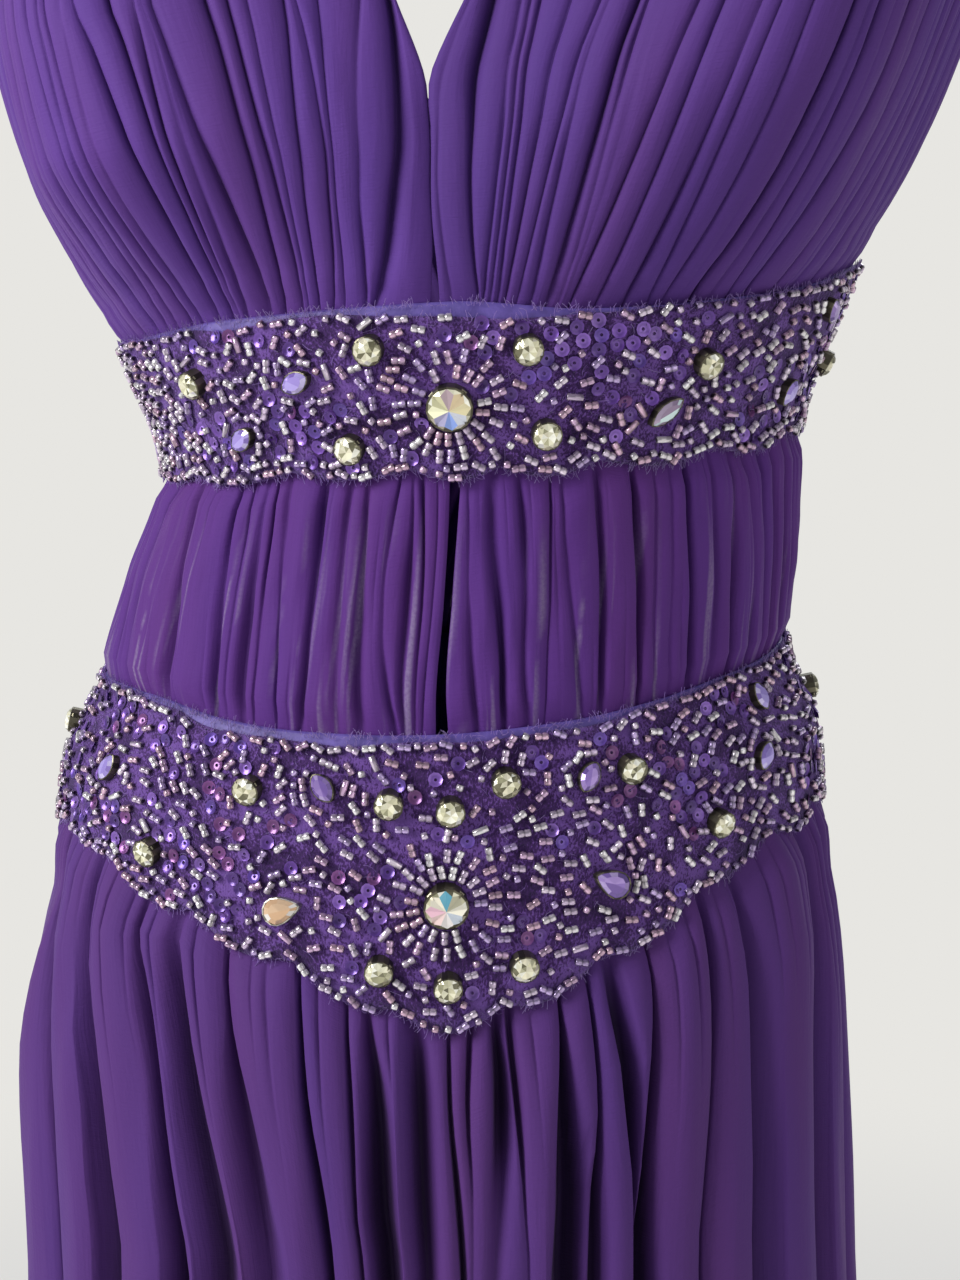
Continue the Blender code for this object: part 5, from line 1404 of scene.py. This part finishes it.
def lay_out(belt, start, end, seed):
    """Lay out one belt piece's beads round its stones."""
    plan = Layout(belt, start, end, seed)
    stones = [stone for stone in STONES if stone.belt is belt]
    if start > 90:
        places = [(stone, stone.angle % 360) for stone in stones if abs(stone.angle) > 90]
    else:
        places = [(stone, stone.angle) for stone in stones if abs(stone.angle) <= 90]
    centres = []
    for stone, angle in places:
        u, cut = plan.along(angle), CUTS[stone.kind]
        lean = math.radians(stone.lean)
        reach = max(cut.length - cut.width, 0) / 2
        for d in {-reach, 0.0, reach}:
            plan.block(u + d * math.sin(lean), stone.z + d * math.cos(lean), cut.width / 2 + STONE_ROOM)
        centres.append((u, stone.z, stone.kind, cut.length / 2))
    bottom, top = partial(lace_bottom, belt), partial(lace_top, belt)
    for u, z, kind, radius in centres:
        if kind == "large":
            plan.ring(u, z, radius + 0.0033, 19, wobble=0.06, kinds="pair")
            plan.ring(u, z, radius + 0.0084, 22, wobble=0.10, kinds="pair", first=0.5)
            plan.ring(u, z, radius + 0.0140, 21, wobble=0.45)
    plan.edge_row(bottom, 0.0016, 0.0041, 0.35)
    plan.edge_row(bottom, 0.0043, 0.0046, 0.60, chance=0.9)
    plan.edge_row(top, -0.0009, 0.0056, 0.5, chance=0.8)
    for u, z, kind, radius in centres:
        if kind == "crystal":
            plan.ring(u, z, radius + 0.0030, 9, wobble=0.5, first=plan.rng.random())
        if kind in ("drop", "oval", "navette"):
            plan.ring(u, z, radius + 0.0022, 12, radial=False, wobble=0.5)
            plan.ring(u, z, radius + 0.0052, 15, radial=False, wobble=0.6)

    big = [(u, z) for u, z, kind, _ in centres if kind == "large"]

    def flow(u, z):
        """Which way beads lie: away from a round stone near it, in waves elsewhere."""
        wave = 0.9 * math.sin(u / 0.0085 + 40 * z) + 1.2 * float(ripple(seed, u * 40, z * 45))
        for centre, height in big:
            du, dz = u - centre, z - height
            if math.exp(-(math.hypot(du, dz) / 0.018) ** 2) > 0.25:
                return math.atan2(dz, du) + 0.3 * wave
        return math.copysign(0.9, u) * math.sin(abs(u) / 0.013) + 0.6 * wave

    plan.sequins(SEQUIN_TRIES, lambda u, z: float(ripple(seed + 3, u * 45, z * 60)) + 0.05)
    plan.fill(BEAD_TRIES, FILL_ROOM, flow)
    return plan


def stamp(shape, at, side, up, out, turn, tilt=None):
    """Copies of a shape, each placed and turned: points, shades and faces."""
    points, shades, faces = shape
    x = side * np.cos(turn)[:, None] + up * np.sin(turn)[:, None]
    y = up * np.cos(turn)[:, None] - side * np.sin(turn)[:, None]
    if tilt is not None:
        out = out + x * tilt[:, :1] + y * tilt[:, 1:]
        out /= np.linalg.norm(out, axis=1, keepdims=True)
        x = np.cross(y, out)
        y = np.cross(out, x)
    axes = np.stack((x, y, out), axis=1)
    placed = np.einsum("pk,nkc->npc", points, axes) + at[:, None, :]
    step = len(points) * np.arange(len(at))[:, None, None]
    return placed.reshape(-1, 3), np.tile(shades, len(at)), (faces[None] + step).reshape(-1, 3)


def join(parts):
    """Join (points, values, faces) parts into one."""
    points, values, faces, start = [], [], [], 0
    for p, v, f in parts:
        points.append(p)
        values.append(v)
        faces.append(f + start)
        start += len(p)
    return np.vstack(points), np.concatenate(values), np.vstack(faces)


def opaque(colours):
    """The colours between 0 and 1, with a full alpha."""
    return np.hstack((np.clip(colours, 0, 1), np.ones((len(colours), 1))))


def tint_of(shades, tints, copies, rng):
    """A colour for each point: its copy's tint times its shade."""
    chosen = np.array(tints)[rng.integers(0, len(tints), copies)] * rng.uniform(0.8, 1.2, (copies, 1))
    return opaque(np.repeat(chosen, len(shades) // copies, axis=0) * shades[:, None])


# What is joined into one piece: its kinds, tints and slot
BEAD_GROUPS = (
    ("beads", ("seed", "pair", "bugle"), CLEAR_TINTS, "clear_stone"),
    ("sequins", ("sequin",), SEQUIN_TINTS, "belt_cloth"),
)


def make_beads(plan, name, *materials):
    """Stamp a layout's beads and sequins on its belt."""
    rng = np.random.default_rng(plan.belt.seed + 7)
    for (group, kinds, tints, slot), material in zip(BEAD_GROUPS, materials):
        parts = []
        for kind in kinds:
            items = np.array([item[1:] for item in plan.items if item[0] == kind])
            if not len(items):
                continue
            flat = kind == "sequin"
            lift = LACE_OUT + (0.0003 if flat else BEAD * 0.95)
            at, side, up, out = seat(plan.angle(items[:, 0]), items[:, 1], BELT_OUT + lift)
            tilt = rng.normal(0, 0.16 if flat else 0.03, (len(items), 2))
            points, shades, faces = stamp(SHAPES[kind], at, side, up, out, items[:, 2], tilt)
            parts.append((points, tint_of(shades, tints, len(items), rng), faces))
        points, colours, faces = join(parts)
        finish_piece(add_mesh(name + "_" + group, points, faces, material, tint=colours), slot)


THREAD_STEPS = 3             # straight pieces along each thread
THREAD_SIDES = 3
THREAD_RADIUS = 0.00011
# Lashes along the edges: where they start, how far below that, how many to a degree, and which
# way is outwards
LASHES = ((lace_bottom, 0.0, 3.4, -1), (lace_top, 0.0, 1.6, 1), (satin_top, 0.0003, 3.0, 1))
HAIRS = 4.0                  # loose hairs over the lace to a degree
FEWER_BEHIND = 0.7           # share of them on the belts' backs


def scatter_threads(belt, start, end, rng):
    """Angle, height, heading, length and bend of each thread."""
    span = (end - start) * (1.0 if start < 0 else FEWER_BEHIND)
    rows = []
    for height, drop, dense, way in LASHES:
        count = int(span * dense)
        angle = rng.uniform(start + 0.3, end - 0.3, count)
        z = height(belt, angle) - drop - way * rng.uniform(0, 0.0012, count)
        lean = rng.normal(0, 0.55, count)
        length = rng.uniform(0.0012, 0.0034, count)
        rows.append((angle, z, np.pi / 2 * way + lean, length, rng.normal(0, 1.1, count)))
    count = int(span * HAIRS)
    angle = rng.uniform(start + 0.5, end - 0.5, count)
    low, high = lace_bottom(belt, angle) + 0.001, lace_top(belt, angle) - 0.001
    z = low + (high - low) * rng.random(count)
    rows.append((angle, z, rng.uniform(0, 2 * np.pi, count), rng.uniform(0.002, 0.005, count),
                 rng.normal(0, 1.6, count)))
    return [np.concatenate(items) for items in zip(*rows)]


def make_fringe(belt, start, end, name, material):
    """Fine lace threads: lashes at both edges and loose hairs over the lace."""
    rng = np.random.default_rng(belt.seed + 30)
    angle, z, turn, length, bend = scatter_threads(belt, start, end, rng)
    at, side, up, out = seat(angle, z, BELT_OUT + LACE_OUT + 0.00025)
    step = (length / THREAD_STEPS)[:, None]
    track = [at]
    heading = turn.copy()
    for _ in range(THREAD_STEPS):
        heading = heading + bend / THREAD_STEPS
        lift = rng.normal(0.06, 0.12, len(at))[:, None] * step
        move = side * np.cos(heading)[:, None] + up * np.sin(heading)[:, None]
        track.append(track[-1] + move * step + out * lift)
    track = np.array(track)
    across = np.cross(out, side * np.cos(turn)[:, None] + up * np.sin(turn)[:, None])
    corners = []
    for k in range(THREAD_SIDES):
        a = 2 * math.pi * k / THREAD_SIDES
        corners.append(track + THREAD_RADIUS * (across * math.cos(a) + out * math.sin(a)))
    points = np.stack(corners, axis=2).transpose(1, 0, 2, 3).reshape(-1, 3)
    faces = []
    for level in range(THREAD_STEPS):
        for k in range(THREAD_SIDES):
            a = level * THREAD_SIDES + k
            b = level * THREAD_SIDES + (k + 1) % THREAD_SIDES
            faces += [(a, b, b + THREAD_SIDES), (a, b + THREAD_SIDES, a + THREAD_SIDES)]
    first = np.arange(len(at)) * (THREAD_STEPS + 1) * THREAD_SIDES
    faces = np.array(faces)[None] + first[:, None, None]
    return add_mesh(name, points, faces.reshape(-1, 3), material)


def make_belts():
    """Satin, lace, beads and threads of both belts."""
    satin, lace = satin_material(), lace_material()
    beads = tinted_material("silver_lined_beads", Roughness=0.10, Metallic=0.55, IOR=1.5,
                            Coat_Weight=0.5, Coat_Roughness=0.06)
    sequins = tinted_material("purple_sequins", Roughness=0.30, Metallic=0.5, Coat_Weight=0.4,
                              Coat_Roughness=0.12)
    thread, tree, shader = new_material("lace_thread", Roughness=0.8, Sheen_Weight=0.3)
    cloud = stretched_noise(tree, 90.0, 90.0, 2.0)
    tree.links.new(ramp(tree, cloud, [(0.3, (0.09, 0.04, 0.20)), (0.7, (0.24, 0.14, 0.46))]),
                   shader.inputs["Base Color"])
    for belt in (UPPER_BELT, HIP_BELT):
        for part, start, end in (("front", -90, 90), ("back_left", 180, 270), ("back_right", 90, 180)):
            name = belt.name + "_" + part
            band = make_satin(belt, start, end, name.replace("belt", "satin"), satin)
            finish_piece(band, "belt_cloth", name)
            net = make_lace(belt, start, end, name.replace("belt", "lace"), lace)
            finish_piece(net, "belt_cloth")
            fringe = make_fringe(belt, start, end, name.replace("belt", "threads"), thread)
            finish_piece(fringe, "belt_cloth")
        for part, start, end in (("front", -90, 90), ("back", 90, 270)):
            plan = lay_out(belt, start, end, belt.seed * 10 + (part == "back"))
            make_beads(plan, belt.name.replace("belt", part), beads, sequins)


# Stones

# Cream foil colours in light and dark values; spread over a crystal's facets they are painted reflections
CREAM_REFLECTION_TINTS = ((0.84, 0.82, 0.62), (0.64, 0.62, 0.42), (0.36, 0.35, 0.22), (1.0, 1.0, 0.88),
               (0.16, 0.15, 0.09), (0.76, 0.72, 0.54))
# The eight sectors of each large stone, clockwise from the top. Their colours are painted reflections; the
# hip stone's dark top sector is painted shadow.
SECTORS = {
    "upper_round_stone": ((0.42, 0.32, 0.36), (0.74, 0.60, 0.38), (0.82, 0.74, 0.46),
                          (0.70, 0.74, 0.84), (0.26, 0.38, 0.80), (0.40, 0.38, 0.58),
                          (0.88, 0.88, 0.60), (0.60, 0.58, 0.36)),
    "hip_round_stone": ((0.10, 0.34, 0.46), (0.52, 0.50, 0.36), (0.80, 0.78, 0.66),
                        (0.66, 0.74, 0.84), (0.84, 0.80, 0.78), (0.82, 0.62, 0.60),
                        (0.74, 0.46, 0.56), (0.80, 0.76, 0.62)),
}
# Palettes of the long stones: each stone's own colour in lighter and darker values, whose spread over the
# facets is painted reflection
LILAC_TINTS = ((0.44, 0.36, 0.78), (0.34, 0.26, 0.66), (0.62, 0.55, 0.88), (0.26, 0.18, 0.54))
VIOLET_TINTS = ((0.20, 0.12, 0.40), (0.30, 0.20, 0.50), (0.42, 0.32, 0.62), (0.14, 0.08, 0.30))
BRONZE_TINTS = ((0.62, 0.40, 0.24), (0.66, 0.46, 0.30), (0.80, 0.76, 0.72))
NAVETTE_TINTS = ((0.66, 0.82, 0.84), (0.30, 0.22, 0.34), (0.40, 0.32, 0.44))
PALETTES = {"hip_drop_1": BRONZE_TINTS, "hip_drop_2": VIOLET_TINTS, "upper_navette": NAVETTE_TINTS,
            "hip_oval_2": VIOLET_TINTS, "hip_oval_3": VIOLET_TINTS, "upper_oval_4": VIOLET_TINTS}
POINTED = {"oval": 0.35, "navette": 0.6, "drop": 0.1}    # how much a long stone narrows at its ends
BRASS = (0.12, 0.11, 0.075)
STEEL = (0.45, 0.43, 0.38)
ROUND = ("large", "crystal")
NOD = {"upper_belt": 8.0, "hip_belt": 16.0}     # how far the round stones hang forwards, in degrees
SETTING_SIDES = 16
# The metal cup under a stone: its rings' widths and heights as parts of the stone's
SETTING_RINGS = ((0.97, -0.32), (1.0, 0.30), (1.0, 0.68), (0.92, 0.72))
# A claw's corners, two at its foot, its tip and its back: how far round from its middle, in parts
# of a setting side, and then widths and heights as above
CLAW = ((-0.35, 1.04, 0.52), (0.35, 1.04, 0.52), (0, 0.80, 0.90), (0, 0.94, 0.52))


def stone_ring(stone, count, first, size, height):
    """A ring of a stone's corners: sideways, up and out from its seat, the long axis by its lean."""
    cut = CUTS[stone.kind]
    turn = (np.arange(count) + first) * 2 * math.pi / count
    long = cut.length / 2 * np.cos(turn)
    wide = cut.width / 2 * np.sin(turn) * (1 - cut.taper * np.cos(turn))
    wide *= np.abs(np.sin(turn)) ** POINTED.get(stone.kind, 0.0)
    tilt = math.radians(stone.lean)
    sideways = wide * math.cos(tilt) + long * math.sin(tilt)
    upward = long * math.cos(tilt) - wide * math.sin(tilt)
    return np.stack((size * sideways, size * upward, 0 * turn + height * cut.height), axis=1)


def round_facets(stone, rng):
    """The facets of a round stone as (three corners, tint) pairs."""
    high = CUTS[stone.kind].height
    cream_reflections = [np.array(tint) for tint in CREAM_REFLECTION_TINTS]
    girdle = stone_ring(stone, 16, 0, 0.93, 0.70)
    middle = stone_ring(stone, 8, 0.5, 0.74, 0.88)
    crystal = stone.kind == "crystal"
    if crystal:
        tints = [cream_reflections[i] for i in rng.integers(0, len(cream_reflections), 8)]
        table = stone_ring(stone, 8, 0, 0.50, 0.98)
    else:
        tints = [np.array(tint) for tint in SECTORS[stone.name]]
        table = np.tile((0, 0, high), (8, 1))
    heart = np.array((0, 0, 0.86 * high))
    facets = []
    for k in range(8):
        j = (k + 1) % 8
        # Painted reflections: each facet takes a lighter or darker foil colour, the girdle's a little
        # darker and each kite's two halves a little apart
        small = [cream_reflections[i] for i in rng.integers(0, len(cream_reflections), 4)]
        first, second, third = girdle[2 * k], girdle[2 * k + 1], girdle[(2 * k + 2) % 16]
        facets.append(((first, second, middle[k]), 0.85 * small[0]))
        facets.append(((second, third, middle[k]), 0.85 * small[1]))
        facets.append(((first, middle[k], table[k]), tints[k]))
        facets.append(((first, table[k], middle[k - 1]), tints[k] * (0.92 if crystal else 1.05)))
        if crystal:
            facets.append(((middle[k], table[j], table[k]), small[2]))
            facets.append(((table[k], table[j], heart), small[3]))
    return facets


def long_facets(stone, rng):
    """The facets of an oval, drop or navette as (three corners, tint) pairs."""
    palette = [np.array(tint) for tint in PALETTES.get(stone.name, LILAC_TINTS)]
    girdle = stone_ring(stone, 12, 0, 0.93, 0.68)
    table = stone_ring(stone, 12, 0, 0.60, 0.96)
    heart = np.array((0, 0, CUTS[stone.kind].height))
    split = rng.integers(0, 6)
    facets = []
    for k in range(12):
        j = (k + 1) % 12
        tint = palette[rng.integers(0, len(palette))]
        facets.append(((girdle[k], girdle[j], table[k]), tint))
        facets.append(((girdle[j], table[j], table[k]), tint * 0.95))
        # Painted reflection: one half of the table takes the first colour, the other half the second
        flat = palette[0] if (k - split) % 12 < 6 else palette[1]
        facets.append(((table[k], table[j], heart), flat))
    return facets


def setting_of(stone):
    """The metal cup under a stone and its claws, as (three corners, tint) pairs."""
    facets = []
    metal = np.array(STEEL if stone.name == "hip_drop_1" else BRASS)
    count = SETTING_SIDES
    rings = [stone_ring(stone, count, 0, size, height) for size, height in SETTING_RINGS]
    for low, up in zip(rings[:-1], rings[1:]):
        for k in range(count):
            j = (k + 1) % count
            # Painted glints: the cup's sides lighter and darker in turn
            shade = 1.0 + 0.5 * math.sin(k * 2.4)
            facets += [((low[k], low[j], up[j]), metal * shade), ((low[k], up[j], up[k]), metal * shade)]
    if stone.kind in ROUND:
        for claw in range(4):
            first = 2 + 4 * claw + (0.5 if stone.kind == "crystal" else 0)
            foot, mate, tip, back = (stone_ring(stone, count, first + turn, size, height)[0]
                                     for turn, size, height in CLAW)
            for corners in ((foot, mate, tip), (mate, back, tip), (back, foot, tip)):
                # The claws are 2.2 times lighter than the cup
                facets.append((corners, metal * 2.2))
    return facets


def place_facets(stone, facets):
    """World corners and tints of facets, each facet facing away from the stone's heart."""
    at, side, up, out = seat(np.array([stone.angle]), np.array([stone.z]), BELT_OUT + 0.0006)
    droop = math.radians(NOD[stone.belt.name] if stone.kind in ROUND else 0)
    up, out = up * math.cos(droop) + out * math.sin(droop), out * math.cos(droop) - up * math.sin(droop)
    corners = np.array([corners for corners, _ in facets])
    heart = np.array((0, 0, 0.3 * CUTS[stone.kind].height))
    facing = np.cross(corners[:, 1] - corners[:, 0], corners[:, 2] - corners[:, 0])
    back = np.sum(facing * (corners.mean(axis=1) - heart), axis=1) < 0
    corners[back] = corners[back][:, ::-1]
    axes = np.stack((side[0], up[0], out[0]))
    points = corners.reshape(-1, 3) @ axes + at[0]
    tints = np.repeat(np.array([tint for _, tint in facets]), 3, axis=0)
    return points, opaque(tints), np.arange(len(points)).reshape(-1, 3)


def make_stones():
    """Every large stone on its own, and all their settings joined."""
    rng = np.random.default_rng(11)
    glass = tinted_material("cut_glass", Roughness=0.06, Metallic=0.35, IOR=1.6)
    metal = tinted_material("aged_brass", Roughness=0.35, Metallic=0.85)
    settings = []
    for stone in STONES:
        cut = round_facets if stone.kind in ROUND else long_facets
        points, colours, faces = place_facets(stone, cut(stone, rng))
        piece = add_mesh(stone.name + "_facets", points, faces, glass, faceted=True, tint=colours)
        slot = "lilac_stone" if stone.kind in ("oval", "drop") else "clear_stone"
        finish_piece(piece, slot, stone.name)
        settings.append(place_facets(stone, setting_of(stone)))
    points, colours, faces = join(settings)
    piece = add_mesh("stone_settings", points, faces, metal, faceted=True, tint=colours)
    finish_piece(piece, "clear_stone")


# Camera, light and floor

def make_camera():
    """The photograph's view."""
    data = bpy.data.cameras.new("camera")
    data.lens = CAMERA_LENS
    data.sensor_width = 36.0
    camera = show("camera", data)
    camera.location = CAMERA_AT
    camera.rotation_euler = (math.radians(90 + CAMERA_PITCH), 0, 0)
    bpy.context.scene.camera = camera


def area_light(name, at, aim, size, power, colour):
    """A square soft light that looks at a point."""
    data = bpy.data.lights.new(name, "AREA")
    data.size = size
    data.energy = power
    data.color = colour
    light = show(name, data)
    light.location = at
    light.rotation_euler = (Vector(aim) - Vector(at)).to_track_quat("-Z", "Y").to_euler()


def mix_surfaces(tree, factor, first, second, output):
    """Send a mix of two nodes' shaders, by a factor, to an output node."""
    mix = tree.nodes.new("ShaderNodeMixShader")
    for socket, wanted in zip(mix.inputs, (factor, first.outputs[0], second.outputs[0])):
        tree.links.new(wanted, socket)
    tree.links.new(mix.outputs[0], tree.nodes[output].inputs["Surface"])


SKY = (0.80, 0.79, 0.76, 1.0)
FLOOR_REACH = 60.0           # half of the floor's width
FLOOR_FADES = (1.7, 2.6)     # metres from the middle where the floor starts and ends fading into the sky


def make_studio():
    """A pale floor under a pale sky, a soft key light on the left and a weak fill on the right."""
    bpy.context.scene.view_settings.view_transform = "Standard"
    world = bpy.data.worlds.new("studio")
    bpy.context.scene.world = world
    world.use_nodes = True
    tree = world.node_tree
    seen = tree.nodes["Background"]
    seen.inputs["Color"].default_value = SKY
    seen.inputs["Strength"].default_value = 1.0
    lighting = node(tree, "ShaderNodeBackground", {"Color": (0.84, 0.87, 0.93, 1.0), "Strength": 0.39})
    path = tree.nodes.new("ShaderNodeLightPath")
    mix_surfaces(tree, path.outputs["Is Camera Ray"], lighting, seen, "World Output")
    area_light("key", (-2.00, -1.05, 0.72), (0, 0, -0.35), 1.3, 72.0, (1.0, 0.99, 0.98))
    area_light("fill", (1.7, -1.6, 0.1), (0, 0, -0.5), 2.0, 10.0, (1.0, 0.96, 0.90))
    area_light("back", (0.6, 2.2, 1.2), (0, 0, -0.4), 2.0, 26.0, (0.95, 0.97, 1.0))
    make_floor()


def make_floor():
    """A pale floor that fades into the colour of the sky, so that no horizon shows."""
    mesh = bpy.data.meshes.new("floor")
    corners = ((-1, -1), (1, -1), (1, 1), (-1, 1))
    mesh.from_pydata([(x * FLOOR_REACH, y * FLOOR_REACH, FLOOR_Z) for x, y in corners], [], [(0, 1, 2, 3)])
    made, tree, shader = new_material("floor", Roughness=0.8)
    shader.inputs["Base Color"].default_value = (0.80, 0.79, 0.77, 1.0)
    glow = node(tree, "ShaderNodeEmission", {"Color": SKY, "Strength": 1.0})
    place = tree.nodes.new("ShaderNodeTexCoord")
    away = node(tree, "ShaderNodeVectorMath", operation="LENGTH")
    tree.links.new(place.outputs["Object"], away.inputs[0])
    fade = node(tree, "ShaderNodeMapRange", {1: FLOOR_FADES[0], 2: FLOOR_FADES[1]}, clamp=True,
                interpolation_type="SMOOTHSTEP")
    tree.links.new(away.outputs["Value"], fade.inputs[0])
    mix_surfaces(tree, fade.outputs[0], shader, glow, "Material Output")
    mesh.materials.append(made)
    show("floor", mesh)


make_camera()
make_studio()
make_cloth()
make_belts()
make_stones()
